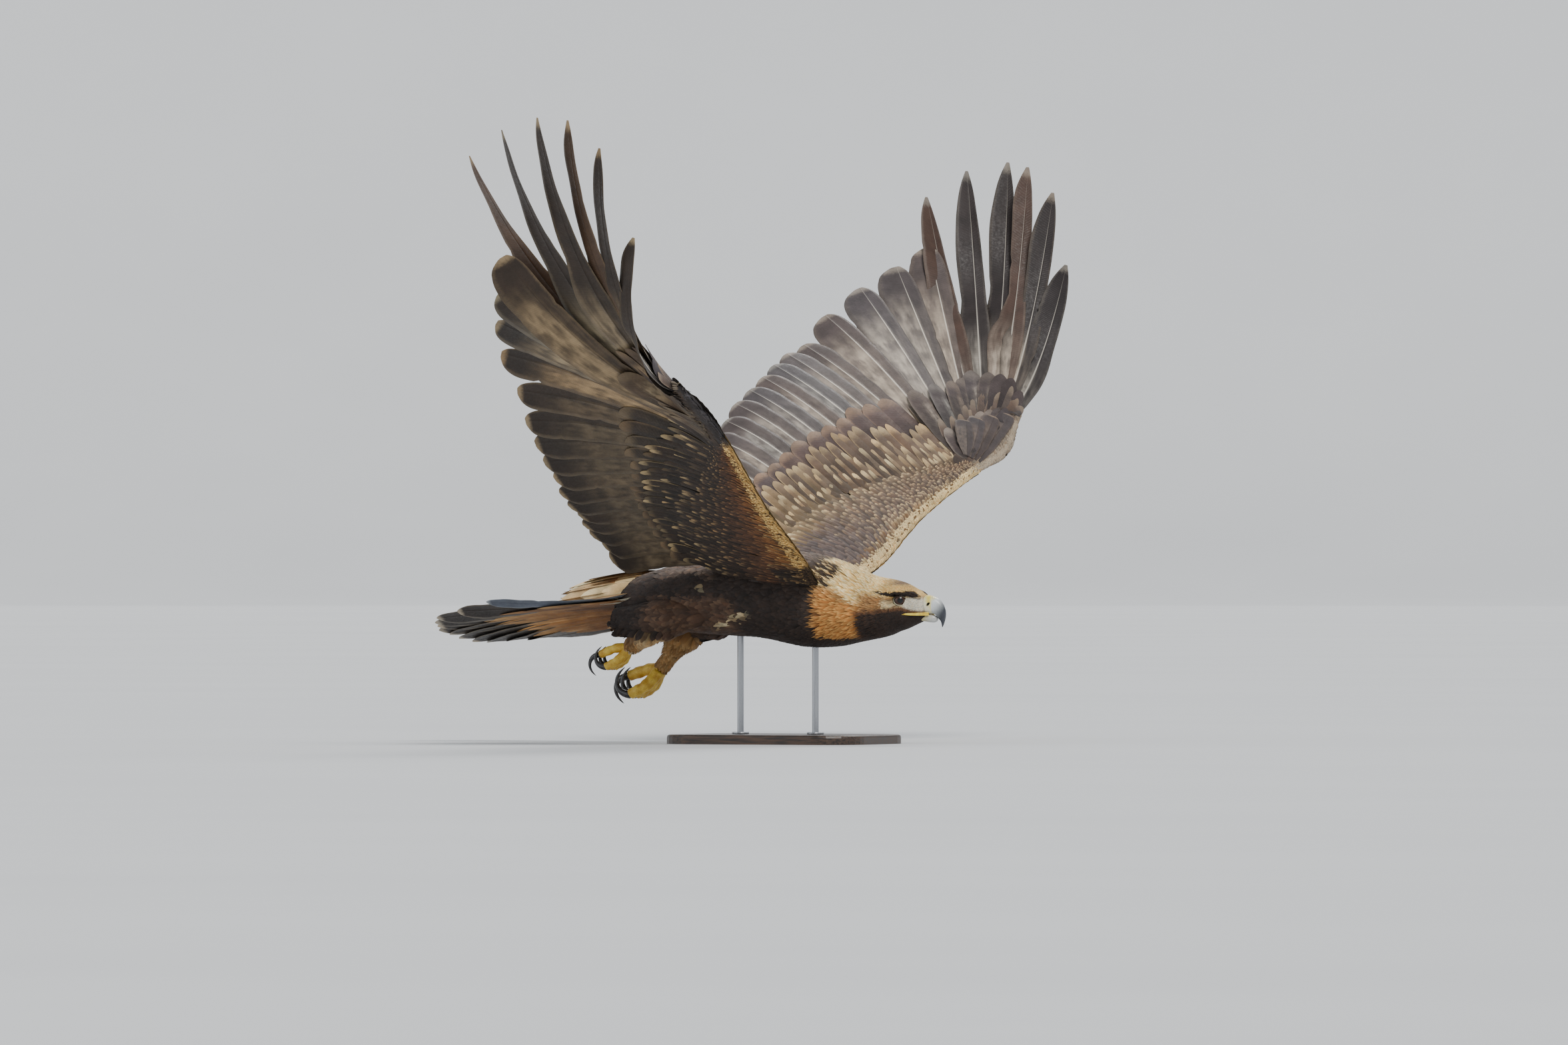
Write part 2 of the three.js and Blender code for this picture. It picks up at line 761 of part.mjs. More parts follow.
// A closed ring of round section.
function hoop(centre, flat, high, radius, thick, steps, sides) {
  const look = flat.clone().cross(high).normalize();
  const points = [];
  const faces = [];
  for (let i = 0; i < steps; i++) {
    const angle = (i / steps) * 2 * Math.PI;
    const out = flat.clone().multiplyScalar(Math.cos(angle)).addScaledVector(high, Math.sin(angle));
    for (let j = 0; j < sides; j++) {
      const turn = (j / sides) * 2 * Math.PI;
      points.push(
        centre
          .clone()
          .addScaledVector(out, radius + thick * Math.cos(turn))
          .addScaledVector(look, thick * Math.sin(turn)),
      );
      const a = i * sides + j;
      const b = i * sides + ((j + 1) % sides);
      const c = ((i + 1) % steps) * sides + ((j + 1) % sides);
      const d = ((i + 1) % steps) * sides + j;
      faces.push([a, d, c], [a, c, b]);
    }
  }
  return solid(points, faces);
}

let head = headWhole.subtract(cutFront(176 - GAP));
for (const side of [-1, 1]) {
  const centre = at(EYE.x, EYE.y * side, EYE.z);
  const look = at(EYE_LOOK.x, EYE_LOOK.y * side, EYE_LOOK.z).normalize();
  head = head.subtract(ball(centre.clone().addScaledVector(look, 18), SOCKET_RADIUS, 10, 6));
  const flat = at(0, 0, 1).cross(look).normalize();
  const high = look.clone().cross(flat).normalize();
  const middle = centre.clone().addScaledVector(look, 7.6);
  head = head.add(hoop(middle, flat, high, LID_RADIUS, LID_THICK, 10, 4));
  const brow = [
    at(187, 31 * side, 226.5),
    at(203, 31 * side, 228),
    at(219, 24.5 * side, 225.5),
    at(230, 15.5 * side, 220.5),
  ];
  head = head.add(tube(brow, (t) => 4.6 - 1.6 * t, 5, 6));
  head = head.subtract(tube(gapeLine(side, 0), () => GAPE_THICK + 0.9, 5, 6));
  head = head.subtract(ball(centre, EYE_RADIUS + GAP, 12, 8));
  put(side < 0 ? "eye_right" : "eye_left", ball(centre, EYE_RADIUS, 12, 8), LOOKS.eye);
}
put("head", largest(head), LOOKS.nape);

// Bill: the cere with its nostrils and gape edges, the arched horn with its hook, the lower half.
// A closed ring between a high and a low point of the bill's own profile.
function billRing(top, bottom, half) {
  const ring = [];
  for (let j = 0; j < BILL_SIDES; j++) {
    const angle = (j / BILL_SIDES) * 2 * Math.PI;
    const f = (1 + Math.sin(angle)) / 2;
    const side = Math.cos(angle);
    const wide = Math.sign(side) * Math.abs(side) ** 0.6 * half * (1.06 - 0.18 * f);
    ring.push(at(mix(bottom[0], top[0], f), wide, mix(bottom[1], top[1], f)));
  }
  return ring;
}
const billSpan = (list, grow = 0) =>
  loft(
    list.map(([top, bottom, half], i) => {
      const ahead = i === list.length - 1 ? grow : 0;
      return billRing([top[0] + ahead, top[1] + grow], [bottom[0] + ahead, bottom[1] - grow], half + grow);
    }),
  );
const cereBody = billSpan(CERE);
let cere = cereBody;
for (const side of [-1, 1]) {
  cere = cere.add(tube(gapeLine(side, 0), (t) => GAPE_THICK - 0.4 + 0.6 * t, 5, 6));
  const hole = at(NOSTRIL.x, NOSTRIL.y * side, NOSTRIL.z);
  const slit = [hole.clone().add(at(-1.6, 3 * side, -1.6)), hole.clone().add(at(1.6, -4 * side, 1.6))];
  cere = cere.subtract(tube(slit, () => 1.5, 1, 6));
}
const headGrown = loft(bodyRings(HEAD, 8, 18, GAP)).subtract(
  join([-1, 1].map((side) => tube(gapeLine(side, 0), () => GAPE_THICK + 0.5, 5, 6))),
);
put("cere", largest(cere.subtract(headGrown)), LOOKS.cere);
const gapeClear = join([-1, 1].map((side) => tube(gapeLine(side, 0), () => GAPE_THICK + 0.7, 5, 6)));
const cereClear = billSpan(CERE, GAP).add(gapeClear);
put("bill_upper", largest(billSpan(HORN).subtract(cereClear)), LOOKS.horn);
const headClear = loft(bodyRings(HEAD, 8, 18, GAP));
const lower = billSpan(LOWER_HALF).subtract(billSpan(HORN, GAP)).subtract(cereClear).subtract(headClear);
put("bill_lower", largest(lower), LOOKS.horn);

put("tail", largest(tail().subtract(torsoGrown)), LOOKS.flight);
for (const [word, plan] of [["right", WING_RIGHT], ["left", WING_LEFT]]) {
  const { inner, outer, wall } = wing(plan);
  const arm = join(inner).subtract(torsoGrown).subtract(wall);
  put("wing_" + word + "_inner", largest(arm), LOOKS.flight);
  put("wing_" + word + "_outer", largest(join(outer).subtract(wall)), LOOKS.flight);
}

for (const [word, plan] of [["right", LEG_RIGHT], ["left", LEG_LEFT]]) {
  const made = leg(plan);
  const grown = leg(plan, 2 * GAP);
  const toes = join(made.toes);
  put("thigh_" + word, largest(made.thigh.subtract(torsoGrown)), LOOKS.plumage);
  const shank = made.shank.subtract(grown.thigh).subtract(torsoGrown);
  put("shank_" + word, largest(shank), LOOKS.nape);
  put("foot_" + word, largest(toes.subtract(grown.shank)), LOOKS.toe);
  made.claws.forEach((claw, i) => {
    const free = claw.subtract(join(grown.toes));
    put("claw_" + word + "_" + (i + 1), largest(free), LOOKS.claw);
  });
}
put("stand_base", stand(), LOOKS.base);
put("stand_rod_front", standRod(ROD_FRONT_X), LOOKS.rod);
put("stand_rod_rear", standRod(ROD_REAR_X), LOOKS.rod);

const eagle = new THREE.Group();
eagle.name = "golden_eagle";
for (const [name, { made, look }] of nodes) {
  const mesh = made.getMesh();
  const geometry = new THREE.BufferGeometry();
  geometry.setAttribute("position", new THREE.BufferAttribute(mesh.vertProperties, 3));
  geometry.setIndex(new THREE.BufferAttribute(mesh.triVerts, 1));
  const [color, roughness, metalness = 0] = look;
  const material = new THREE.MeshStandardMaterial({ color, roughness, metalness });
  const piece = new THREE.Mesh(geometry, material);
  piece.name = name;
  eagle.add(piece);
}

export default eagle;
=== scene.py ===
import json
import math

import bpy
import numpy as np
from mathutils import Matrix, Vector
from mathutils.bvhtree import BVHTree

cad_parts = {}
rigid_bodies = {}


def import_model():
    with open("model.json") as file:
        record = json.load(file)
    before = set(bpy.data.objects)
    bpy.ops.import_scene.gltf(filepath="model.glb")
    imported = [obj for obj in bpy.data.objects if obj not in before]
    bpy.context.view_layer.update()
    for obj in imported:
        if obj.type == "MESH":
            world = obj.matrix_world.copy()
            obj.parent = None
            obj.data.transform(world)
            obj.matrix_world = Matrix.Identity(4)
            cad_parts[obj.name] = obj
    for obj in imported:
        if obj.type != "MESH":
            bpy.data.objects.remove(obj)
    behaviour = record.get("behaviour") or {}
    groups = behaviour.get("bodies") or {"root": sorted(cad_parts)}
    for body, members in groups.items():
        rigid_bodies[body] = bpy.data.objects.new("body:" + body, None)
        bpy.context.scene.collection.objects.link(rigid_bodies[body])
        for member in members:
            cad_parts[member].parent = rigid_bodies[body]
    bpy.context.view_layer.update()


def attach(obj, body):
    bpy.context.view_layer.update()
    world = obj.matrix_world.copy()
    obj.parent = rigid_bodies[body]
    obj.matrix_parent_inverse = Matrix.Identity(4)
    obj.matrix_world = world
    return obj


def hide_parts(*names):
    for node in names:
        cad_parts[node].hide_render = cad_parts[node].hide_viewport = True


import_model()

MM = 0.001
RNG = np.random.default_rng(41)

# Camera: level, on the eagle's right side, 25 degrees round towards its front. Metres.
AZIMUTH = math.radians(25)
AIM = Vector((0, 0, 0.332))
DISTANCE = 26.0
SEEN_WIDTH = 2.353

# Numbers of feathers. Primaries from FIRST_FINGER on, counted from the wrist, stand apart like fingers.
PRIMARIES = 10
FIRST_FINGER = 5
SECONDARIES = 12
RECTRICES = 12

# Trunk stations: x, top, bottom, half width, in millimetres.
TRUNK = [
    (-268, 236, 190, 26),
    (-235, 252, 178, 44),
    (-180, 268, 169, 60),
    (-110, 282, 163, 74),
    (-30, 290, 158, 84),
    (40, 288, 145, 84),
    (92, 276, 146, 72),
    (126, 263, 152, 58),
    (152, 253, 157, 47),
    (176, 249, 162, 39),
    (190, 246, 168, 35.5),
    (204, 241, 173, 32),
    (218, 234, 179, 26),
    (230, 227, 184, 18),
    (237, 222.5, 186, 13.5),
]
# The head, in millimetres: the left eyeball's middle, the way it looks, and the left nostril.
EYE = np.array([201.0, 21.5, 216.0])
EYE_LOOK = np.array([0.45, 0.89, -0.03])
EYE_RADIUS, SOCKET_RADIUS = 11.5, 12.4
NOSTRIL = (242.5, 10.5, 210)

# Places along the trunk: rearmost small feathers, start of the neck and head, end of the hackles, cere.
TAIL_X, NECK_X, HEAD_X, HACKLE_END, FACE_X = -262.0, 84.0, 176.0, 180.0, 236.5
LEG_COAT = 5.0  # how deep the skin of the legs lies under their feathers

# Wing knots: station, then x, y, z. Stations run from 0 at the body over 1 at the wrist to 2.
WINGS = {
    "right": {
        "side": -1,
        "leading": [
            (0, (86, 66, 240)), (0.3, (97, 150, 282)), (0.65, (101, 290, 358)),
            (1, (111, 432, 447)), (1.5, (117, 530, 494)), (2, (112, 606, 534)),
        ],
        "root": [
            (0, (-72, 66, 262)), (0.4, (-45, 228, 346)), (1, (82, 424, 452)),
            (1.5, (94, 508, 494)), (2, (100, 588, 526)),
        ],
        "tip": [
            (0, (-238, 92, 264)), (0.2, (-246, 150, 309)), (0.45, (-236, 250, 352)),
            (0.65, (-226, 345, 402)), (0.85, (-221, 440, 471)), (0.98, (-204, 522, 540)),
            (1.05, (-194, 571, 582)), (1.2, (-148, 680, 650)), (1.35, (-94, 767, 722)),
            (1.45, (-132, 805, 868)), (1.55, (-71, 822, 905)), (1.65, (-7, 835, 922)),
            (1.75, (34, 818, 918)), (1.85, (81, 808, 877)), (1.95, (119, 773, 747)),
        ],
    },
    "left": {
        "side": 1,
        "leading": [
            (0, (86, 66, 240)), (0.3, (97, 150, 275)), (0.65, (96, 290, 342)),
            (1, (112, 432, 402)), (1.5, (128, 530, 436)), (2, (114, 606, 490)),
        ],
        "root": [
            (0, (-72, 66, 262)), (0.4, (-45, 228, 356)), (1, (82, 424, 424)),
            (1.5, (95, 508, 460)), (2, (101, 588, 488)),
        ],
        "tip": [
            (0, (-236, 92, 300)), (0.2, (-240, 165, 395)), (0.45, (-232, 270, 484)),
            (0.65, (-224, 360, 541)), (0.85, (-218, 450, 588)), (0.98, (-205, 522, 612)),
            (1.05, (-196, 571, 650)), (1.2, (-158, 680, 712)), (1.35, (-111, 767, 757)),
            (1.45, (-132, 805, 835)), (1.55, (-71, 822, 875)), (1.65, (-7, 835, 888)),
            (1.75, (34, 818, 880)), (1.85, (81, 808, 840)), (1.95, (119, 773, 728)),
        ],
    },
}
TAIL = {
    "side": 1,
    "root": [(-1, (-226, -30, 226)), (0, (-232, 0, 214)), (1, (-226, 30, 200))],
    "tip": [
        (-1, (-452, -90, 213)), (-0.7, (-538, -66, 191)), (0, (-570, 0, 166)),
        (0.5, (-544, 56, 151)), (1, (-468, 92, 156)),
    ],
}
LEGS = {
    "right": {
        "y": -50, "knee": (-95, 200), "heel": (-258, 184), "ankle": (-194, 180),
        "foot": (-234, 143), "size": 0.76,
    },
    "left": {
        "y": 48, "knee": (-95, 200), "heel": (-178, 178), "ankle": (-176, 176),
        "foot": (-228, 110), "size": 1.0,
    },
}


def unit(v):
    return v / np.maximum(np.linalg.norm(v, axis=-1, keepdims=True), 1e-9)


def mix(a, b, t):
    return a + (b - a) * t


def ease(t):
    t = np.clip(t, 0, 1)
    return t * t * (3 - 2 * t)


def step(low, high, t):
    return ease((np.asarray(t, float) - low) / (high - low))


def srgb(*values):
    """A linear colour from 8-bit numbers."""
    c = np.array(values, float) / 255
    return np.where(c <= 0.04045, c / 12.92, ((c + 0.055) / 1.055) ** 2.4)


# Painted shade for the hollow between the near wing's root and the nape: one dark colour.
PAINTED_HOLLOW_SHADE = srgb(44, 34, 28)


def along(knots, place):
    """Smooth values between knots (station, value) at an array of places."""
    place = np.atleast_1d(np.asarray(place, float))
    at = np.array([k[0] for k in knots], float)
    val = np.array([k[1] for k in knots], float).reshape(len(knots), -1)
    i = np.clip(np.searchsorted(at, place, side="right") - 1, 0, len(at) - 2)
    before = np.maximum(i - 1, 0)
    after = np.minimum(i + 2, len(at) - 1)
    span = (at[i + 1] - at[i])[:, None]
    t = ((place - at[i]) / span[:, 0])[:, None]
    p, q = val[i], val[i + 1]
    slope_in = (q - val[before]) / (at[i + 1] - at[before])[:, None]
    slope_out = (val[after] - p) / (at[after] - at[i])[:, None]
    t2, t3 = t * t, t * t * t
    return (
        p * (2 * t3 - 3 * t2 + 1)
        + slope_in * (t3 - 2 * t2 + t) * span
        + q * (3 * t2 - 2 * t3)
        + slope_out * (t3 - t2) * span
    )


class Sheet:
    """The surface that a fan of flight feathers lies in: u runs along it, t from the roots to the tips."""

    def __init__(self, plan, bow):
        self.plan, self.bow, self.side = plan, bow, plan["side"]
        self.low, self.high = plan["tip"][0][0], plan["tip"][-1][0]

    def flip(self, p):
        return p * np.array([1, self.side, 1])

    def point(self, u, t):
        u, t = np.broadcast_arrays(np.asarray(u, float), np.asarray(t, float))
        shape = u.shape
        u, t = u.ravel(), t.ravel()[:, None]
        p = mix(along(self.plan["root"], u), along(self.plan["tip"], u), t)
        p = p + self.bow(u) * 4 * t * (1 - t)
        return self.flip(p).reshape(*shape, 3)

    def surface(self, u, v):
        """The same surface carried on over the flesh: v is -1 at the leading edge, 0 at the roots."""
        u, v = np.broadcast_arrays(np.asarray(u, float), np.asarray(v, float))
        back = self.point(u, np.maximum(v, 0))
        front = self.flip(along(self.plan["leading"], u.ravel())).reshape(*u.shape, 3)
        root = self.point(u, 0 * v)
        w = np.clip(v + 1, 0, 1)[..., None]
        return np.where((v < 0)[..., None], mix(front, root, w), back)

    def frame(self, u, t, reach=0.12):
        run = unit(self.point(u, np.asarray(t) + 0.004) - self.point(u, np.asarray(t) - 0.004))
        high = np.minimum(self.high, np.asarray(u) + reach)
        low = np.maximum(self.low, np.asarray(u) - reach)
        over = self.point(high, t) - self.point(low, t)
        across = unit(over - run * (over * run).sum(-1, keepdims=True))
        up = unit(np.cross(across, run) * self.side)
        return self.point(u, t), run, across, up

    def normal(self, u, v):
        high = np.minimum(self.high, np.asarray(u) + 0.08)
        low = np.maximum(self.low, np.asarray(u) - 0.08)
        over = self.surface(high, v) - self.surface(low, v)
        run = self.surface(u, np.asarray(v) + 0.03) - self.surface(u, np.asarray(v) - 0.03)
        return unit(np.cross(over, run) * self.side)


def wing_bow(u):
    return mix(np.array([0, 0, 14.0]), np.array([-16.0, 44, -34]), ease((u - 1) / 0.6)[:, None])


def tail_bow(u):
    return np.stack([0 * u, 0 * u, -12 * u * u + 4], -1)


def fatness(u):
    return mix(15, 7, ease(np.asarray(u) / 1.3)) * np.where(np.asarray(u) > 1.85, 0.7, 1)


# ---- meshes ----
def new_mesh(name, points, quads, material, smooth=True):
    """An object from arrays of points in millimetres and of four-sided faces."""
    mesh = bpy.data.meshes.new(name)
    points = np.asarray(points, np.float32) * MM
    quads = np.asarray(quads, np.int32)
    mesh.vertices.add(len(points))
    mesh.vertices.foreach_set("co", points.ravel())
    mesh.loops.add(quads.size)
    mesh.loops.foreach_set("vertex_index", quads.ravel())
    mesh.polygons.add(len(quads))
    mesh.polygons.foreach_set("loop_start", np.arange(0, quads.size, quads.shape[1], dtype=np.int32))
    mesh.polygons.foreach_set("loop_total", np.full(len(quads), quads.shape[1], np.int32))
    mesh.update(calc_edges=True)
    mesh.polygons.foreach_set("use_smooth", np.full(len(quads), smooth))
    mesh.materials.append(material)
    obj = bpy.data.objects.new(name, mesh)
    bpy.context.scene.collection.objects.link(obj)
    return obj


def give_colour(mesh, name, values):
    data = np.ones((len(mesh.vertices), 4), np.float32)
    data[:, : values.shape[1]] = values
    mesh.attributes.new(name, "FLOAT_COLOR", "POINT").data.foreach_set("color", data.ravel())


def give_uv(mesh, name, values):
    index = np.empty(len(mesh.loops), np.int32)
    mesh.loops.foreach_get("vertex_index", index)
    layer = mesh.uv_layers.new(name=name, do_init=False)
    layer.data.foreach_set("uv", np.asarray(values, np.float32)[index].ravel())


def settle(obj, slot, *nodes):
    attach(obj, "root")
    if nodes:
        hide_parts(*nodes)
    return obj


# ---- materials ----
class Finish:
    """A material with a Principled shader, and short ways to add nodes."""

    def __init__(self, name, **sockets):
        self.mat = bpy.data.materials.new(name)
        self.mat.use_nodes = True
        self.tree = self.mat.node_tree
        self.shader = self.tree.nodes["Principled BSDF"]
        for key, value in sockets.items():
            self.shader.inputs[key.replace("_", " ")].default_value = value

    def node(self, kind, values=(), **settings):
        made = self.tree.nodes.new(kind)
        for key, value in settings.items():
            setattr(made, key, value)
        for i, value in enumerate(values):
            self.put(made.inputs[i], value)
        return made

    def put(self, socket, value):
        if value is None:
            return
        if isinstance(value, bpy.types.NodeSocket):
            self.tree.links.new(value, socket)
        else:
            socket.default_value = value

    def math(self, operation, *values):
        return self.node("ShaderNodeMath", values, operation=operation).outputs[0]

    def times(self, a, b, plus=None):
        return self.math("MULTIPLY", a, b) if plus is None else self.math("MULTIPLY_ADD", a, b, plus)

    def vector(self, *values):
        return self.node("ShaderNodeCombineXYZ", values).outputs[0]

    def spread(self, value, low, high, to_low=0.0, to_high=1.0):
        values = (value, low, high, to_low, to_high)
        return self.node("ShaderNodeMapRange", values, interpolation_type="SMOOTHSTEP").outputs[0]

    def blend(self, amount, a, b, kind="MIX"):
        """Mixes two colours; a tuple is a colour of 8-bit numbers."""
        made = self.node("ShaderNodeMix", data_type="RGBA", blend_type=kind)
        for i, value in ((0, amount), (6, a), (7, b)):
            self.put(made.inputs[i], (*srgb(*value), 1) if isinstance(value, tuple) else value)
        return made.outputs[2]

    def attribute(self, name, output="Color"):
        return self.node("ShaderNodeAttribute", attribute_name=name).outputs[output]

    def split(self, vector):
        return self.node("ShaderNodeSeparateXYZ", [vector]).outputs

    def uv(self, name):
        return self.split(self.node("ShaderNodeUVMap", uv_map=name).outputs[0])

    def objects(self, scale=(1, 1, 1)):
        where = self.node("ShaderNodeTexCoord").outputs["Object"]
        made = self.node("ShaderNodeMapping", [where])
        made.inputs["Scale"].default_value = scale
        return made.outputs[0]

    def noise(self, vector, scale, detail=3.0, rough=0.55):
        made = self.node("ShaderNodeTexNoise")
        self.put(made.inputs["Vector"], vector)
        for key, value in (("Scale", scale), ("Detail", detail), ("Roughness", rough)):
            made.inputs[key].default_value = value
        return made.outputs["Fac"]

    def bump(self, height, strength, distance):
        made = self.node("ShaderNodeBump")
        made.inputs["Strength"].default_value = strength
        made.inputs["Distance"].default_value = distance
        self.put(made.inputs["Height"], height)
        self.tree.links.new(made.outputs[0], self.shader.inputs["Normal"])

    def colour(self, value):
        self.put(self.shader.inputs["Base Color"], value)

    def rough(self, value):
        self.put(self.shader.inputs["Roughness"], value)


def feather_finish(name, barb_lines, rough, tip_from, edge_share, base_shade):
    """Colours come from each vane: Col is the web, Rim its edge and tip.

    Mark holds how strong the shaft, the rim and the pale patch are; a negative shaft is dark.
    """
    f = Finish(name, Roughness=rough, Sheen_Weight=0.03, Sheen_Roughness=0.5, Specular_IOR_Level=0.32)
    across, down, _ = f.uv("Vane")
    shaft, rim, bars = f.split(f.attribute("Mark", "Vector"))
    web, edge_colour = f.attribute("Col"), f.attribute("Rim")
    red, green, _ = f.split(web)
    off = f.math("ABSOLUTE", f.times(across, 2.0, -1.0))
    grain = f.noise(f.objects(), 260.0, 2.0)
    patch = f.noise(f.objects(), 42.0, 3.0)
    jag = f.times(grain, 1.0, -0.5)
    edge = f.spread(f.times(jag, 0.24, off), 0.72, 1.0, 0.0, edge_share)
    tip_depth = 1 - tip_from
    tip = f.spread(f.times(jag, tip_depth * 0.5, down), tip_from, 1 - tip_depth * 0.2)
    rim_mask = f.times(f.math("MAXIMUM", edge, tip), rim)
    # Pale clouds over the basal part, mostly on the inner web; a negative strength keeps them short.
    own = f.vector(f.times(across, 2.3, f.times(red, 61.0)), f.times(down, 2.7), f.times(green, 83.0))
    cloud = f.noise(own, 3.2, 3.0, 0.52)
    wave = f.math("SINE", f.times(down, 62.0, f.times(cloud, 9.0)))
    bar = f.spread(f.times(wave, 0.04, cloud), 0.26, 0.7, 0.22, 1.0)
    inner = f.spread(across, 0.62, 0.42, 0.16, 1.0)
    far = f.times(f.spread(bars, -0.01, 0.01, 1.0, 0.0), 0.36, down)
    where = f.times(f.spread(far, 0.9, 0.62), f.spread(off, 1.0, 0.75, 0.3, 1.0))
    bar = f.times(f.times(bar, f.math("ABSOLUTE", bars)), f.times(inner, where))
    webbed = f.blend(rim_mask, f.blend(bar, web, edge_colour), edge_colour)
    # Soft clouds of random tone, painted shade towards each vane's base where the row before covers it, and the
    # fine slanting lines of the barbs.
    tone_and_shade = f.times(f.spread(patch, 0.25, 0.75, 0.76, 1.2), f.spread(down, 0.4, 0.82, base_shade, 1.0))
    slant = f.times(down, barb_lines * 6.283, f.times(off, -14.0))
    lines = f.math("SINE", f.math("ADD", slant, f.times(grain, 4.0)))
    tone_and_shade = f.times(tone_and_shade, f.spread(lines, -1.0, 1.0, 0.965, 1.025))
    webbed = f.blend(1.0, webbed, f.vector(tone_and_shade, tone_and_shade, tone_and_shade), "MULTIPLY")
    thin = f.spread(down, 0.0, 1.0, 0.058, 0.02)
    fade = f.spread(down, 0.98, 0.7, 0.25, 1.0)
    on_shaft = f.times(f.spread(f.math("DIVIDE", off, thin), 1.25, 0.75), f.math("ABSOLUTE", shaft))
    on_shaft = f.times(on_shaft, fade)
    shaft_colour = f.blend(f.spread(shaft, -0.01, 0.01), (24, 17, 13), (222, 214, 200))
    f.colour(f.blend(on_shaft, webbed, shaft_colour))
    f.rough(f.spread(grain, 0.2, 0.8, rough - 0.1, rough + 0.12))
    f.bump(f.math("ADD", f.times(lines, 0.5), f.times(on_shaft, 1.5)), 0.22, 0.0004)
    return f.mat


# The last number is how dark each vane is painted at its covered base, as painted shade under the row before; 1
# leaves it unshaded.
FLIGHT = feather_finish("flight_feather", 120, 0.52, 0.96, 0.3, 1.0)
PLUME = feather_finish("plumage", 24, 0.7, 0.8, 0.8, 0.5)
BODY_PLUME = feather_finish("body_plumage", 16, 0.75, 0.66, 0.5, 0.8)


def skin_finish(name, low, high, rough):
    f = Finish(name, Roughness=rough, Specular_IOR_Level=0.3)
    mottle = f.spread(f.noise(f.objects(), 90.0, 4.0), 0.3, 0.7, low, high)
    f.colour(f.blend(1.0, f.attribute("Col"), f.vector(mottle, mottle, mottle), "MULTIPLY"))
    f.bump(f.noise(f.objects((1, 4, 4)), 180.0, 3.0), 0.6, 0.0012)
    return f.mat


def horn_finish(name, low, high, pale, deep, end, black_end, wax):
    """Waxy at the cere, then pale, dark towards its point; low and high are where it darkens, in metres."""
    f = Finish(name, Roughness=0.3, Coat_Weight=0.25, Coat_Roughness=0.2)
    x, _, z = f.split(f.objects())
    along_bill = f.math("SUBTRACT", x, f.times(z, 0.62))
    cloud = f.noise(f.objects(), 120.0, 4.0)
    place = f.times(cloud, 0.008, along_bill)
    colour = f.blend(f.spread(place, low, high), f.blend(cloud, deep, pale), f.blend(cloud, black_end, end))
    colour = f.blend(f.spread(place, low + 0.001, low - 0.007), colour, wax)
    streaks = f.noise(f.objects((1, 1, 0.2)), 420.0, 3.0)
    f.colour(f.blend(f.spread(streaks, 0.45, 0.75, 0.0, 0.2), colour, (108, 112, 116)))
    f.rough(f.spread(cloud, 0.3, 0.7, 0.24, 0.42))
    f.bump(streaks, 0.25, 0.0004)
    return f.mat


def wax_finish(name, scale, gloss):
    """Waxy bare skin with pores, as on the cere and the gape, and a cloud for its colours."""
    f = Finish(name, Roughness=0.42, Subsurface_Weight=0.08, Subsurface_Scale=0.002)
    pores = f.noise(f.objects(), 1400.0, 2.0)
    f.rough(f.spread(pores, 0.3, 0.7, gloss, gloss + 0.2))
    f.bump(pores, 0.3, 0.0003)
    return f, f.noise(f.objects(), scale, 4.0)


def gape_finish():
    f, cloud = wax_finish("gape", 160.0, 0.34)
    f.colour(f.blend(f.spread(cloud, 0.3, 0.7), (214, 178, 40), (240, 216, 86)))
    return f.mat


def cere_finish():
    """Yellow round and above the nostril, whitish below and towards the face, with painted shade in the
    nostril.
    """
    f, cloud = wax_finish("cere", 260.0, 0.36)
    x, _, z = f.split(f.objects())
    place = f.times(cloud, 0.008, f.times(z, 0.55, x))
    colour = f.blend(f.spread(place, 0.3565, 0.3665), (222, 218, 192), (216, 196, 84))
    colour = f.blend(f.spread(x, 0.243, 0.2475, 0.0, 0.75), colour, (222, 217, 178))
    # Painted shade in the nostril: dark within a few millimetres of it.
    ahead = f.math("SUBTRACT", x, NOSTRIL[0] * MM)
    above = f.math("SUBTRACT", z, NOSTRIL[2] * MM)
    away = f.vector(ahead, 0.0, f.times(ahead, -0.6, above))
    reach = f.node("ShaderNodeVectorMath", [away], operation="LENGTH").outputs["Value"]
    f.colour(f.blend(f.spread(reach, 0.0034, 0.0016), colour, (34, 26, 18)))
    return f.mat


def scale_finish():
    """Yellow toe skin cut into scales by one cell pattern, with darker seams."""
    f = Finish("toe_skin", Roughness=0.48, Subsurface_Weight=0.05, Subsurface_Scale=0.002)
    cells = f.node("ShaderNodeTexVoronoi", feature="DISTANCE_TO_EDGE")
    f.put(cells.inputs["Vector"], f.objects((1, 0.8, 1)))
    cells.inputs["Scale"].default_value = 560.0
    seam = f.spread(cells.outputs["Distance"], 0.0, 0.16, 0.6, 1.0)
    cloud = f.noise(f.objects(), 90.0, 3.0)
    skin = f.blend(f.spread(cloud, 0.3, 0.7), (200, 152, 40), (236, 202, 78))
    f.colour(f.blend(seam, (158, 108, 36), skin))
    f.rough(f.spread(seam, 0.0, 1.0, 0.7, 0.42))
    f.bump(seam, 0.4, 0.0005)
    return f.mat


def claw_finish():
    f = Finish("claw", Roughness=0.22, Coat_Weight=0.3)
    cloud = f.noise(f.objects(), 160.0, 3.0)
    f.colour(f.blend(f.spread(cloud, 0.35, 0.75), (18, 17, 19), (58, 54, 54)))
    f.rough(f.spread(cloud, 0.3, 0.7, 0.18, 0.36))
    f.bump(f.noise(f.objects(), 700.0, 2.0), 0.2, 0.0003)
    return f.mat


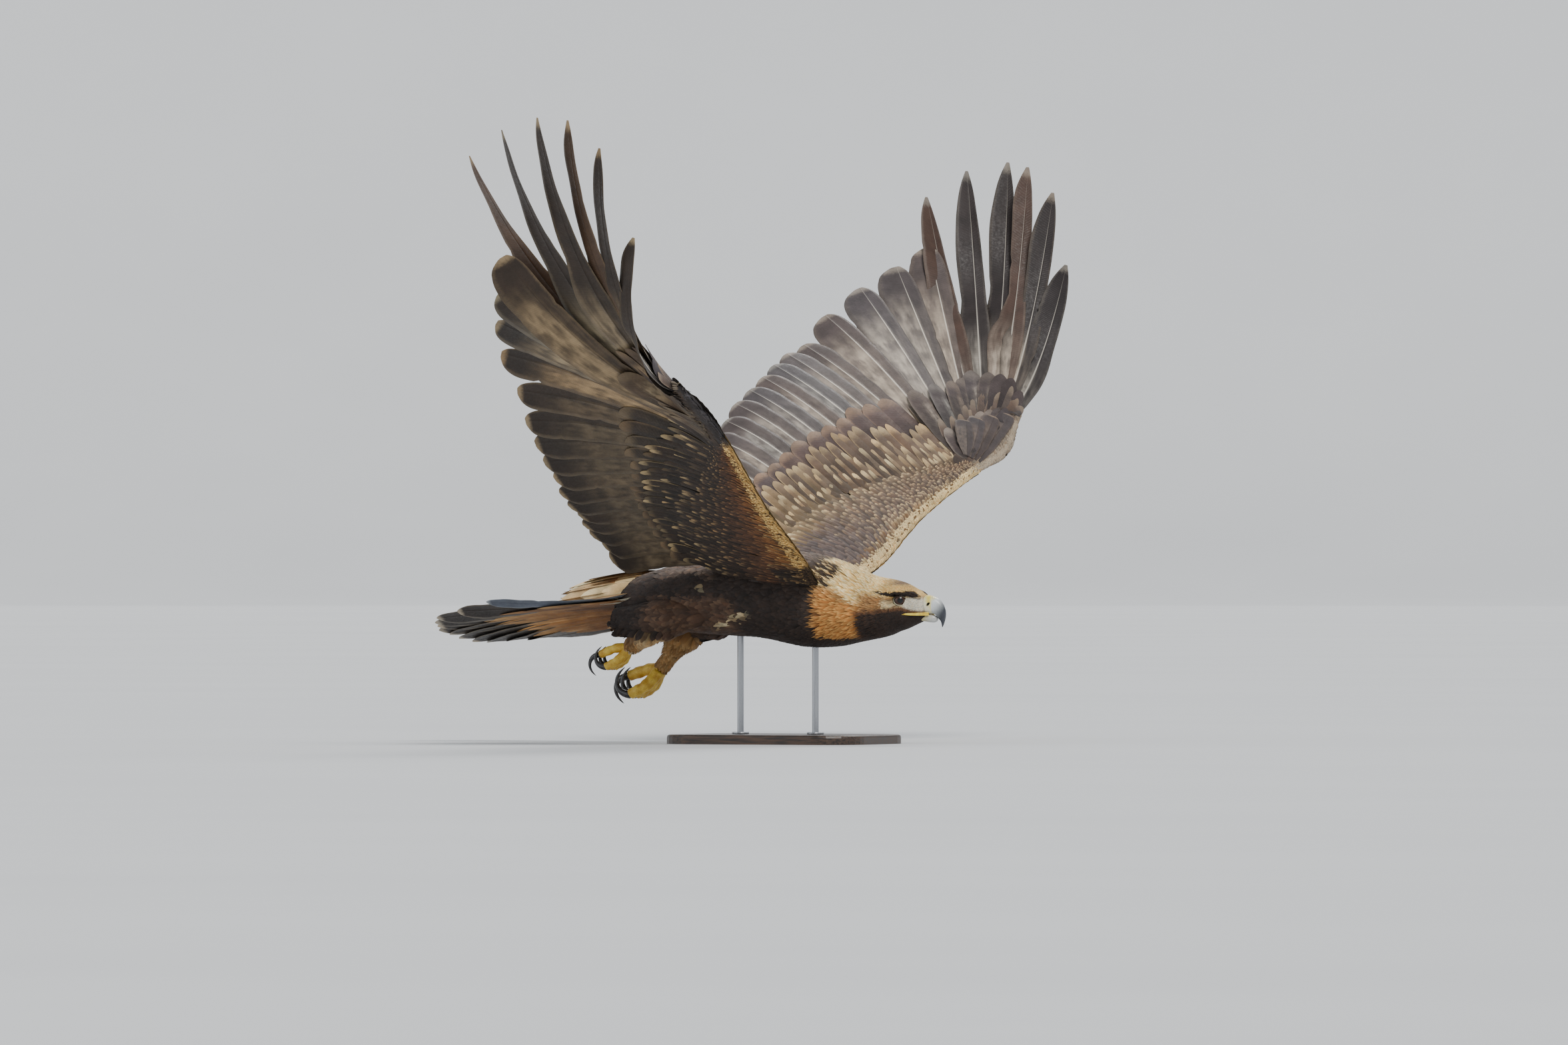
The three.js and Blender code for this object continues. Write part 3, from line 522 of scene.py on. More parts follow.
def eye_finish():
    """Dark brown iris, black pupil, wet surface; rings by distance from the axis of sight."""
    f = Finish("eye", Roughness=0.3, Coat_Weight=0.55, Coat_Roughness=0.02, Specular_IOR_Level=0.2)
    ring = f.attribute("Ring", "Fac")
    fibre = f.noise(f.objects(), 900.0, 3.0)
    iris = f.blend(fibre, (34, 19, 12), (74, 44, 28))
    iris = f.blend(f.spread(ring, 0.58, 0.7), iris, (16, 11, 9))
    pupil = f.spread(f.times(fibre, 0.03, ring), 0.41, 0.36)
    f.colour(f.blend(pupil, iris, (4, 4, 5)))
    f.rough(f.spread(fibre, 0.0, 1.0, 0.25, 0.4))
    return f.mat


def metal_finish():
    f = Finish("stand_steel", Metallic=1.0, Roughness=0.3)
    brushed = f.noise(f.objects((1, 1, 0.03)), 900.0, 3.0)
    f.colour(f.blend(brushed, (150, 152, 156), (196, 198, 202)))
    f.rough(f.spread(brushed, 0.3, 0.7, 0.24, 0.42))
    f.bump(brushed, 0.15, 0.0002)
    return f.mat


def wood_finish():
    """Dark stained oak with a satin varnish."""
    f = Finish("stand_wood", Roughness=0.4, Coat_Weight=0.2, Coat_Roughness=0.25)
    grain = f.noise(f.objects((3, 40, 40)), 9.0, 5.0)
    pores = f.noise(f.objects((8, 260, 260)), 8.0, 2.0)
    colour = f.blend(f.spread(grain, 0.3, 0.7), (30, 22, 17), (74, 54, 40))
    f.colour(f.blend(f.spread(pores, 0.55, 0.75, 0.0, 0.5), colour, (16, 12, 10)))
    f.rough(f.spread(grain, 0.3, 0.7, 0.34, 0.5))
    f.bump(pores, 0.3, 0.0003)
    return f.mat


def floor_finish():
    f = Finish("studio_floor", Roughness=0.9)
    cloud = f.noise(f.objects(), 0.8, 3.0)
    f.colour(f.blend(cloud, (205, 207, 210), (216, 218, 220)))
    return f.mat


SKIN, LID = skin_finish("skin", 0.5, 0.95, 0.85), skin_finish("lid", 0.85, 1.1, 0.5)
EYE_LOOKS = eye_finish()
HORN = horn_finish(
    "horn", 0.1225, 0.1465, (222, 225, 222), (194, 201, 204), (58, 62, 72), (26, 28, 34), (222, 214, 162),
)
LOWER_HORN = horn_finish(
    "horn_lower", 0.112, 0.138, (214, 202, 146), (196, 180, 108), (196, 196, 190), (158, 160, 160),
    (206, 176, 80),
)
CERE, GAPE = cere_finish(), gape_finish()
TOE, CLAW = scale_finish(), claw_finish()
STEEL, WOOD, FLOOR = metal_finish(), wood_finish(), floor_finish()


# ---- vanes ----
# Outlines: (place from root to tip, share of the half width).
CONTOUR = ((0, 0.42), (0.25, 0.85), (0.5, 1), (0.7, 0.92), (0.84, 0.7), (0.94, 0.4), (1, 0.06))
HACKLE = ((0, 0.6), (0.35, 1), (0.6, 0.86), (0.82, 0.5), (1, 0.04))
DOWN = ((0, 0.5), (0.45, 1), (0.8, 0.66), (1, 0.06))
COVERT = (
    (0, 0.5), (0.3, 0.86), (0.6, 1), (0.78, 0.97), (0.88, 0.84), (0.95, 0.62), (0.985, 0.36), (1, 0.1),
)
# Columns of points across a vane, from its inner edge (-1) to its outer edge (1).
FIVE = np.array([-1, -0.5, 0, 0.5, 1.0])
THREE = np.array([-1, 0, 1.0])
WEBS = np.array([-1, -0.8, -0.5, -0.2, -0.04, 0, 0.04, 0.2, 0.5, 0.8, 1.0])


class Coat:
    """Many vanes gathered into one mesh."""

    def __init__(self):
        self.points, self.quads, self.vane, self.bake = [], [], [], []
        self.col, self.rim, self.mark = [], [], []
        self.count = 0

    def add(self, grid, cols, places, tints, root, low=None, low_tints=None, patch=(0.003, 0.003)):
        """grid is (feather, row, column, 3); low is the same for the lower face of a thick vane."""
        n, rows, m = grid.shape[:3]
        spread = lambda tints: [np.broadcast_to(v[:, None, None, :], (n, rows, m, 3)) for v in tints]
        across = np.broadcast_to((cols + 1) / 2, (n, rows, m))
        down = np.broadcast_to(np.asarray(places)[None, :, None], (n, rows, m))
        tints, ring = spread(tints), m
        if low is not None:
            grid = np.concatenate([grid, low[:, :, ::-1]], 2)
            across = np.concatenate([across, across[:, :, ::-1]], 2)
            down = np.concatenate([down, down], 2)
            tints = [np.concatenate(pair, 2) for pair in zip(tints, spread(low_tints))]
            ring = 2 * m
        first = self.count + np.arange(n)[:, None, None] * rows * ring
        a = first + np.arange(rows - 1)[None, :, None] * ring
        c = np.arange(ring - 1 if low is None else ring)[None, None, :]
        d = (c + 1) % ring
        self.quads.append(np.stack([a + c, a + d, a + d + ring, a + c + ring], -1).reshape(-1, 4))
        if low is not None:
            k = np.arange(m - 1)
            for row, turn in ((0, 1), (rows - 1, -1)):
                b = first[:, 0] + row * ring
                cap = np.stack([b + k, b + ring - 1 - k, b + ring - 2 - k, b + k + 1], -1)
                self.quads.append(cap.reshape(-1, 4)[:, ::turn])
        self.points.append(grid.reshape(-1, 3))
        self.count += n * rows * ring
        vane = np.stack([across, down], -1)
        self.vane.append(vane.reshape(-1, 2))
        self.bake.append((root[:, None, None, :] + (vane - 0.5) * np.asarray(patch)).reshape(-1, 2))
        for store, value in zip((self.col, self.rim, self.mark), tints):
            store.append(value.reshape(-1, 3))

    def make(self, name, material, slot, *nodes):
        obj = new_mesh(name, np.concatenate(self.points), np.concatenate(self.quads), material)
        mesh = obj.data
        give_uv(mesh, "OFBake", np.concatenate(self.bake))
        give_uv(mesh, "Vane", np.concatenate(self.vane))
        for word, values in (("Col", self.col), ("Rim", self.rim), ("Mark", self.mark)):
            give_colour(mesh, word, np.concatenate(values))
        mesh.uv_layers["OFBake"].active_render = True
        return settle(obj, slot, *nodes)


def profile(shape, places):
    return np.interp(places, [p[0] for p in shape], [p[1] for p in shape])


def leaves(line, across, up, wide, cols, camber, tilt=0.0):
    """Points of vanes (feather, row, column, 3) from middle lines and half widths (feather, row)."""
    reach = wide[..., None] * cols
    rise = tilt * reach - camber * np.abs(reach) * np.abs(cols)
    return line[:, :, None] + across[:, :, None] * reach[..., None] + up[:, :, None] * rise[..., None]


def small_vanes(coat, root, middle, tip, n0, n1, half, shape, cols, tints, bake, camber=0.25, roll=None):
    """Short feathers that bend through three points over the skin."""
    places = np.array([p[0] for p in shape])
    s = places[None, :, None]
    pull = 2 * middle - (root + tip) / 2
    line = (1 - s) ** 2 * root[:, None] + 2 * s * (1 - s) * pull[:, None] + s * s * tip[:, None]
    run = unit(2 * (1 - s) * (pull - root)[:, None] + 2 * s * (tip - pull)[:, None])
    up = mix(n0[:, None], n1[:, None], s)
    up = unit(up - run * (up * run).sum(-1, keepdims=True))
    side = np.cross(run, up)
    if roll is not None:
        cos, sin = np.cos(roll)[:, None, None], np.sin(roll)[:, None, None]
        side, up = side * cos + up * sin, up * cos - side * sin
    wide = half[:, None] * profile(shape, places)[None]
    coat.add(leaves(line, side, up, wide, cols, camber), cols, places, tints, bake)


def vary(n, amount):
    return RNG.uniform(1 - amount, 1 + amount, n)


def tinted(base, n, amount=0.12, hue=0.04):
    """One colour for each feather, a little lighter, darker or warmer than its base."""
    base = np.broadcast_to(base, (n, 3))
    warm = RNG.normal(0, hue, n)[:, None] * np.array([1, 0, -1])
    return np.clip(base * vary(n, amount)[:, None] * (1 + warm), 0, 1)


def marks(n, shaft=0.0, rim=0.0, bars=0.0):
    return np.stack([np.broadcast_to(np.asarray(v, float), (n,)) for v in (shaft, rim, bars)], -1)


# ---- flight feathers ----
FLIGHT_ROUND = [(0, 0.3), (0.1, 0.52), (0.3, 0.86), (0.6, 1), (0.87, 1)] + [
    (0.87 + 0.13 * math.sin(a), max(math.cos(a) ** 0.85, 0.06)) for a in np.linspace(0.2, math.pi / 2, 14)
]
FLIGHT_FINGER = (
    (0, 0.25), (0.1, 0.45), (0.3, 0.82), (0.42, 1.05), (0.47, 1.03), (0.54, 0.86), (0.62, 0.8),
    (0.82, 0.74), (0.9, 0.58), (0.96, 0.36), (1, 0.06),
)


def flight_vanes(coat, sheet, u, to, shape, outer, inner, tilt, twist, tints, lift=0.0, spacing=None):
    """Long vanes with a raised shaft, closed all round, each tip rounded or narrowed to a finger.

    to is where along the sheet each one ends; spacing (pitch, start, last) keeps neighbours apart.
    """
    n = len(u)
    to, outer, inner, tilt, twist, lift = (
        np.broadcast_to(v, (n,))[:, None] for v in (to, outer, inner, tilt, twist, lift)
    )
    places = 1 - (1 - np.linspace(0, 1, 40)) ** 1.55
    s = places[None, :]
    t = mix(0.02, to, s)
    uu = np.broadcast_to(u[:, None], t.shape)
    centre, run, across, up = sheet.frame(uu, t)
    turn = (twist * ease((s - 0.48) / 0.4) * sheet.side)[..., None]
    bend = lambda a: a * np.cos(turn) + np.cross(run, a) * np.sin(turn)
    across, up = bend(across), bend(up)
    wide = profile(shape, places)[None] * np.ones((n, 1))
    out, into = outer * wide, inner * wide
    if spacing is not None:
        pitch, start, last = spacing
        ahead = np.linalg.norm(sheet.point(np.minimum(uu + pitch, last), t) - centre, axis=-1)
        behind = np.linalg.norm(sheet.point(uu - pitch, t) - centre, axis=-1)
        slim, free = s >= start, (uu + pitch) > last
        out = np.where(slim & ~free, np.minimum(out, np.maximum(ahead / 2 - 0.4, 0.8)), out)
        into = np.where(slim, np.minimum(into, np.maximum(behind / 2 - 0.4, 0.8)), into)
        out, into = smooth_rows(out), smooth_rows(into)
    # Two small splits in each web.
    for web in (out, into):
        for _ in range(2):
            split = RNG.uniform(0.35, 0.84, n)[:, None]
            web *= 1 - RNG.uniform(0, 0.14, n)[:, None] * np.exp(-(((s - split) / 0.01) ** 2))
    centre = centre + up * lift[:, None]
    reach = np.where(WEBS < 0, into[..., None] * WEBS, out[..., None] * WEBS)
    arch = -0.05 * np.abs(reach) * np.abs(WEBS)
    ripple = 0.35 * np.sin(s * 40 + u[:, None] * 90)[..., None] * np.abs(WEBS) ** 2
    shaft = np.array([0, 0, 0, 0, 0.15, 1, 0.15, 0, 0, 0, 0])
    stem = (mix(1.5, 0.35, s) * np.ones((n, 1)))[..., None] * shaft
    skin = 0.28 * np.array([0.4, 1, 1, 1, 1, 1, 1, 1, 1, 1, 0.4])
    flat = centre[:, :, None] + across[:, :, None] * reach[..., None]
    flat = flat + up[:, :, None] * (tilt[:, None] * reach + arch + ripple)[..., None]
    top = flat + up[:, :, None] * (skin + stem * 0.6)[..., None]
    low = flat - up[:, :, None] * (skin + stem)[..., None]
    root = np.stack([(np.arange(n) + 0.5) / n, np.full(n, 0.5)], -1)
    coat.add(top, WEBS, places, tints[0], root, low, tints[1], (0.94 / n, 0.94))


def smooth_rows(a):
    padded = np.pad(a, ((0, 0), (2, 2)), mode="edge")
    return sum(padded[:, i : i + a.shape[1]] for i in range(5)) / 5


# ---- wings ----
def flesh_reach(u):
    """How far the flesh of the arm and of the hand goes back over the quills."""
    return np.where(u < 1, 0.16, 0.07)


def core_half(sheet, u, v):
    """Half the thickness of the arm under its coverts."""
    u, v = np.broadcast_arrays(np.asarray(u, float), np.asarray(v, float))
    reach = flesh_reach(u)
    front = np.linalg.norm(sheet.surface(u, 0 * v - 1) - sheet.surface(u, 0 * v), axis=-1)
    back = np.linalg.norm(sheet.surface(u, reach) - sheet.surface(u, 0 * v), axis=-1)
    f = np.where(v < 0, (v + 1) * front, front + np.minimum(v / reach, 1) * back) / (front + back)
    half = fatness(u) * (0.22 * f + np.sin(np.pi * np.clip(f, 0, 1) ** 0.62)) * 0.7
    return np.where(v > reach, mix(half, 0.8, np.clip((v - reach) / 0.4, 0, 1)), half)


def covert_row(coat, sheet, u, v0, v1, half, face, lift, tints, tilt=0.0, skew=0.0):
    """One row of coverts from v0 to v1, over (face 1) or under (face -1) a wing."""
    n = len(u)
    places = np.array([p[0] for p in COVERT])
    s = places[None, :]
    v = mix(np.broadcast_to(v0, (n,))[:, None], np.broadcast_to(v1, (n,))[:, None], s)
    uu = u[:, None] + skew * s
    normal = sheet.normal(uu, v) * face
    rise = core_half(sheet, uu, v) + mix(lift[0], lift[1], s)
    line = sheet.surface(uu, v) + normal * rise[..., None]
    run = unit(np.gradient(line, axis=1))
    across = unit(np.cross(run, normal) * sheet.side * -face)
    wide = np.broadcast_to(half, (n,))[:, None] * profile(COVERT, places)[None]
    grid = leaves(line, across, normal, wide, FIVE, 0.16, tilt * face)
    down = np.clip(0.25 + 0.24 * np.broadcast_to((v0 + v1) / 2, (n,)), 0.01, 0.49)
    bake = np.stack([0.02 + 0.96 * np.clip(u / 2, 0, 1), down + (0.5 if face < 0 else 0)], -1)
    coat.add(grid, FIVE, places, tints, bake)


ARM_TILT, HAND_TILT, FINGER_TWIST = 0.075, 0.13, 0.85


def places_of(count, low, high, jitter=0.0):
    u = low + (np.arange(count) + 0.5) / count * (high - low)
    return u + RNG.uniform(-jitter, jitter, count) * (high - low) / count


def flight_tints(n, fingers):
    """Upper and lower looks of a wing's flight feathers, from their bases to the wing tip."""
    is_hand = n == PRIMARIES
    warm = np.zeros(n, bool)
    warm[[4, 7]] = is_hand
    top, low = (
        np.where(warm[:, None], srgb(*brown), np.where(fingers[:, None], srgb(*dark), srgb(*plain)))
        for brown, dark, plain in (
            ((74, 55, 46), (44, 38, 38), (74, 65, 64)), ((74, 54, 38), (48, 38, 30), (46, 36, 28)),
        )
    )
    patch = np.where(fingers, -0.85, 0.8 if is_hand else 0.68)
    upper = (
        tinted(top, n, 0.1), tinted(srgb(196, 184, 168), n, 0.06),
        marks(n, np.where(fingers, 0.5, 0.75), 0.4, patch),
    )
    patch = np.where(fingers, -0.6, 0.75 if is_hand else 0.22)
    lower = (tinted(low, n, 0.14), tinted(srgb(182, 160, 124), n, 0.1), marks(n, -0.3, 0.55, patch))
    return upper, lower


def tints_of(n, col, edge, **mark):
    return tinted(srgb(*col), n), tinted(srgb(*edge), n, 0.08), marks(n, **mark)


def by_place(knots, place):
    """A colour for each place from (place, (r, g, b)) knots."""
    at = [k[0] for k in knots]
    rows = np.array([srgb(*k[1]) for k in knots])
    return np.stack([np.interp(place, at, rows[:, c]) for c in range(3)], -1)


def build_wing(word, plan):
    sheet = Sheet(plan, wing_bow)
    n = SECONDARIES
    u = places_of(n, 0.01, 1)
    quills = Coat()
    flight_vanes(
        quills, sheet, u, 1 - RNG.uniform(0, 0.035, n), FLIGHT_ROUND, 25, 38, ARM_TILT, 0,
        flight_tints(n, np.zeros(n, bool)), spacing=(1 / n, 0.97, 0.99),
    )
    quills.make("secondaries_" + word, FLIGHT, "flight_feather", "wing_" + word + "_inner")
    n = PRIMARIES
    u = places_of(n, 1, 2)
    finger = np.arange(n) + 1 >= FIRST_FINGER
    quills = Coat()
    for group, shape, outer, inner, twist, start in (
        (~finger, FLIGHT_ROUND, 21, 44, 0, 0.9), (finger, FLIGHT_FINGER, 19, 36, FINGER_TWIST, 0.5),
    ):
        faces = [tuple(a[group] for a in rows) for rows in flight_tints(n, finger)]
        flight_vanes(
            quills, sheet, u[group], 1, shape, outer, inner, HAND_TILT, twist, faces,
            spacing=(0.1, start, 1.95),
        )
    quills.make("primaries_" + word, FLIGHT, "flight_feather", "wing_" + word + "_outer")
    for face, part in ((1, "upper"), (-1, "lower")):
        cover = Coat()
        coverts(cover, sheet, face)
        arm_rows(cover, sheet, face)
        hand_rows(cover, sheet, face)
        cover.make("coverts_%s_%s" % (part, word), PLUME, "plumage")
    alula(sheet, plan, word)
    edge_feathers(sheet, plan, word)


def coverts(coat, sheet, face):
    """The long coverts over the quills, which the rows of shorter ones overlap."""
    over = face > 0
    n = SECONDARIES + 2
    u = places_of(n, 0.0, 1.0, 0.06)
    look = ((88, 73, 70), (156, 130, 108)) if over else ((50, 40, 32), (120, 100, 74))
    covert_row(
        coat, sheet, u, 0.03, 0.46 * vary(n, 0.04), 24, face, (2.6, 3.4),
        tints_of(n, *look, shaft=-0.2, rim=0.7, bars=0.15), tilt=ARM_TILT,
    )
    n = 9 if over else 10
    u = places_of(n, 1.02, 1.97, 0.06)
    reach = mix(0.37, 0.25, step(1.1, 1.9, u)) * vary(n, 0.03)
    look = ((70, 61, 61), (186, 172, 156)) if over else ((66, 52, 40), (168, 146, 112))
    plain, slim = step(1.75, 1.5, u), step(1.2, 1.95, u)
    covert_row(
        coat, sheet, u, 0.0, reach, mix(22, 13, slim), face, (3.0, 6.5),
        tints_of(n, *look, shaft=-0.2, rim=0.25 * plain, bars=0.75 * plain), tilt=HAND_TILT,
    )
    covert_row(
        coat, sheet, u + 0.03, -0.2, reach * (0.36 if over else 0.5), mix(18, 10, slim), face, (5.0, 7.0),
        tints_of(n, *look, shaft=-0.2, rim=0.4 * plain, bars=0.3 * plain), tilt=HAND_TILT,
    )


# Webs and edges of the arm's small coverts, from the row over the quills (0) to the leading edge (1).
ARM_ABOVE = (
    ((0, (104, 86, 72)), (0.15, (122, 100, 76)), (0.4, (108, 88, 72)), (0.75, (100, 82, 70)),
     (0.88, (140, 112, 78)), (1, (190, 156, 102))),
    ((0, (196, 168, 124)), (0.15, (218, 194, 146)), (0.5, (180, 152, 114)), (0.8, (200, 176, 132)),
     (1, (238, 216, 164))),
)
ARM_BELOW = (
    ((0, (46, 35, 27)), (0.4, (52, 38, 29)), (0.66, (84, 54, 34)), (0.84, (132, 84, 42)),
     (1, (206, 158, 86))),
    ((0, (178, 154, 112)), (0.3, (150, 122, 84)), (0.7, (126, 84, 50)), (1, (242, 206, 136))),
)


def toned(col, rim, new_col, new_rim, share):
    """Webs and edges turned towards other colours."""
    return mix(col, srgb(*new_col), share), mix(rim, srgb(*new_rim), share)


def arm_rows(coat, sheet, face):
    over = face > 0
    rows = 15
    for k in range(rows):
        q = k / (rows - 1)
        n = int(mix(30, 96, q**1.1))
        u = places_of(n, 0.0, 1.06, 0.36)
        reach = mix(0.36, -0.97, q**0.86)
        wrist = step(0.72, 1.0, u) * max(reach, 0) * 0.45
        v1 = reach - wrist + RNG.uniform(-0.035, 0.035, n)
        v0 = np.maximum(v1 - mix(0.4, 0.14, q**1.4) * vary(n, 0.08), -0.995)
        col, rim = (by_place(knots, np.full(n, q)) for knots in (ARM_ABOVE if over else ARM_BELOW))
        if over:
            inner = step(0.46, 0.2, u + RNG.normal(0, 0.06, n))[:, None]
            pale = inner * (1 if q < 0.3 else 0)
            col, rim = toned(col, rim, (150, 126, 92), (222, 198, 152), pale * 0.8)
            dusk = inner * (1 if 0.3 <= q < 0.88 else 0)
            col, rim = toned(col, rim, (92, 77, 73), (128, 110, 98), dusk * 0.9)
            strength = mix(0.72, 0.75, q) * (1 - 0.6 * dusk[:, 0]) * RNG.uniform(0.45, 1.2, n)
        else:
            strength = RNG.uniform(0, 1, n) ** (1.6 if q < 0.5 else 2.4)
            slate = (step(0.88, 1.02, u + RNG.normal(0, 0.03, n)) * (q > 0.4))[:, None]
            col, rim = toned(col, rim, (68, 55, 46), (94, 78, 66), slate * 0.9)
            # Painted shade: leading rows near the body take the dark colour of the hollow.
            hollow_shade = (step(0.21, 0.14, u + RNG.normal(0, 0.015, n)) * (q > 0.7))[:, None]
            col, rim = mix(col, PAINTED_HOLLOW_SHADE, hollow_shade), mix(rim, srgb(170, 138, 92), hollow_shade)
        spot = (RNG.random(n) < 0.22) & (q > 0.8)
        col = np.where(spot[:, None], srgb(104, 78, 50), col)
        slant = mix(0.0, 0.05, step(0.5, 0.95, q)) + RNG.uniform(-0.006, 0.006, n)[:, None]
        covert_row(
            coat, sheet, u, v0, v1, 0.66 * 440 / n * vary(n, 0.12), face,
            (mix(3.4, 0.4, q), mix(4.6, 1.8, q)), (tinted(col, n), tinted(rim, n), marks(n, -0.12, strength)),
            tilt=ARM_TILT * 0.6, skew=slant,
        )
    n = 96
    for v in (-0.995, -0.93):
        u = places_of(n, -0.02, 1.03, 0.3)
        look = ((196, 162, 106), (240, 220, 168)) if over else ((204, 156, 84), (242, 208, 140))
        col, rim, mark = tints_of(n, *look, shaft=-0.1, rim=0.7)
        if not over:
            # Slate towards the wrist; painted shade of the hollow near the body.
            slate, hollow_shade = step(0.92, 1.0, u)[:, None], step(0.21, 0.15, u)[:, None]
            col, rim = toned(col, rim, (84, 77, 75), (108, 100, 96), slate)
            col, rim = mix(col, PAINTED_HOLLOW_SHADE, hollow_shade), mix(rim, srgb(150, 120, 80), hollow_shade)
        covert_row(
            coat, sheet, u, v, v + RNG.uniform(0, 0.03, n), 4.2 * vary(n, 0.1), face, (0.4, 1.6),
            (col, rim, mark), skew=0.055,
        )


def hand_rows(coat, sheet, face):
    """Small coverts of the hand, which lie along it towards the wing tip."""
    over = face > 0
    rows = 9
    for k in range(rows):
        q = k / (rows - 1)
        n = int(mix(12, 26, q))
        u = places_of(n, 0.96, 1.93, 0.3)
        v0 = mix(-0.1, -0.86, q) + RNG.uniform(-0.03, 0.03, n)
        v1 = v0 + mix(0.3, 0.05, q)
        look = ((92, 78, 70), (150, 132, 112)) if over else ((62, 50, 42), (96, 78, 60))
        if q > 0.5:
            look = ((132, 116, 98), (176, 160, 138)) if over else ((68, 62, 60), (92, 85, 82))
        covert_row(
            coat, sheet, u, v0, v1, mix(9, 4.4, q) * vary(n, 0.1), face, (mix(4.0, 0.4, q), mix(6.0, 1.8, q)),
            tints_of(n, *look, shaft=-0.12, rim=0.55), tilt=HAND_TILT * 0.4, skew=mix(0.08, 0.2, q),
        )


def edge_feathers(sheet, plan, word):
    """Small close feathers round the leading edge, gold along the arm and slate along the hand."""
    near = plan["side"] < 0
    tree = tree_of([wing_shell(sheet)])
    u, turn = np.meshgrid(np.linspace(0.03, 1.95, 180), np.linspace(-1.9, 1.9, 11))
    u, turn = u.ravel(), turn.ravel()
    n = len(u)
    u = u + RNG.uniform(-0.5, 0.5, n) * 0.011
    front = unit(sheet.surface(u, -1) - sheet.surface(u, -0.2))
    middle = sheet.surface(u, -1 + 0.06 * (1 + step(0.9, 1.1, u)))
    away = front * np.cos(turn)[:, None] + sheet.normal(u, -0.9) * np.sin(turn)[:, None]
    p, n0, kept = landed(tree, middle + away * 30, middle)
    u, front, n = u[kept], front[kept], len(kept)
    forth = unit(sheet.surface(u + 0.01, -1) - sheet.surface(u - 0.01, -1))
    lie = unit(forth - front * RNG.uniform(0.25, 0.6, n)[:, None])
    length = mix(13.0, 10.0, step(0.9, 1.2, u)) * vary(n, 0.15)
    mid, tip, n1 = laid(tree, p, n0, lie, length, np.full(n, 3.2))
    gold_to = 0.97 if near else 1.0
    slate = step(gold_to - 0.03, gold_to + 0.05, u + RNG.normal(0, 0.02, n))[:, None]
    gold, pale, cold, cold_rim = (
        ((222, 172, 92), (248, 218, 150), (92, 87, 88), (120, 114, 112)) if near
        else ((198, 166, 116), (240, 220, 168), (146, 130, 112), (190, 174, 150))
    )
    col, rim = toned(srgb(*gold), srgb(*pale), cold, cold_rim, slate)
    dot = (RNG.random(n) < 0.16)[:, None] * (1 - slate)
    col, rim = toned(col, rim, (92, 66, 40), (130, 98, 60), dot)
    if near:
        # Painted shade: on the near wing, feathers by the body take the dark colour of the hollow.
        hollow_shade = (step(0.2, 0.16, u) * (RNG.random(n) < 0.8))[:, None]
        col, rim = mix(col, PAINTED_HOLLOW_SHADE, hollow_shade), mix(rim, srgb(92, 72, 50), hollow_shade)
    coat = Coat()
    bake = np.stack([0.02 + 0.48 * u, 0.5 + 0.3 * turn[kept]], -1)
    small_vanes(
        coat, p + n0 * 0.8, mid, tip, n0, n1, length * 0.24, DOWN, THREE,
        (tinted(col, n), tinted(rim, n), marks(n, -0.1, 0.6)), bake, 0.2,
    )
    coat.make("edge_feathers_" + word, BODY_PLUME, "plumage")


def alula(sheet, plan, word):
    """The thumb's fan of stiff feathers over the back of the hand."""

    def spot(u, f, rise):
        lead, root = along(plan["leading"], u)[0], along(plan["root"], u)[0]
        up = sheet.frame(np.array([[u]]), np.array([[0.02]]))[3].reshape(3)
        return tuple(mix(lead, root, f) + up * (1, plan["side"], 1) * rise)

    thumb = {
        "side": plan["side"],
        "root": [(0, spot(1.06, 0.75, 13)), (1, spot(1.12, 0.2, 7))],
        "tip": [(0, spot(1.46, 1.9, 15)), (1, spot(*((1.99, 0.1, 9) if word == "left" else (1.88, 0.5, 6))))],
    }
    n = 4
    u = places_of(n, 0, 1)
    coat = Coat()
    top = (tinted(srgb(64, 57, 58), n), tinted(srgb(158, 136, 114), n), marks(n, -0.3, 0.7, 0.3))
    low = (tinted(srgb(52, 44, 38), n), tinted(srgb(110, 92, 74), n), marks(n, -0.3, 0.4, 0.0))
    fan = Sheet(thumb, lambda w: np.array([2.0, 0, 2]) * np.ones((len(w), 1)))
    flight_vanes(coat, fan, u, 0.9 + 0.033 * np.arange(n), FLIGHT_ROUND, 12, 18, 0.2, 0, (top, low))
    coat.make("alula_" + word, FLIGHT, "flight_feather")


TAIL_TIP = (
    (0, 0.3), (0.1, 0.5), (0.3, 0.8), (0.6, 1), (0.8, 1), (0.88, 0.92), (0.93, 0.76), (0.965, 0.54),
    (0.988, 0.3), (1, 0.06),
)
# Layers of the tail's coverts: how far they reach, heights at the root and at the tips, where they start.
# Above, they stand higher and higher over the root, and the tips of each come down to the one below.
TAIL_ABOVE = (
    (0.44, 8, 2.5, 0.0), (0.42, 15, 8, 0.0), (0.395, 22, 14, -0.02), (0.365, 29, 21, -0.04),
    (0.33, 35, 27, -0.06), (0.29, 40, 33, -0.08), (0.24, 43, 38, -0.1),
)
TAIL_BELOW = (
    (0.7, 8, 5.5, 0.0), (0.6, 9, 5.5, -0.02), (0.5, 11, 5.5, -0.06), (0.38, 13, 5.5, -0.1),
    (0.26, 15, 6, -0.14), (0.14, 17, 6, -0.16),
)


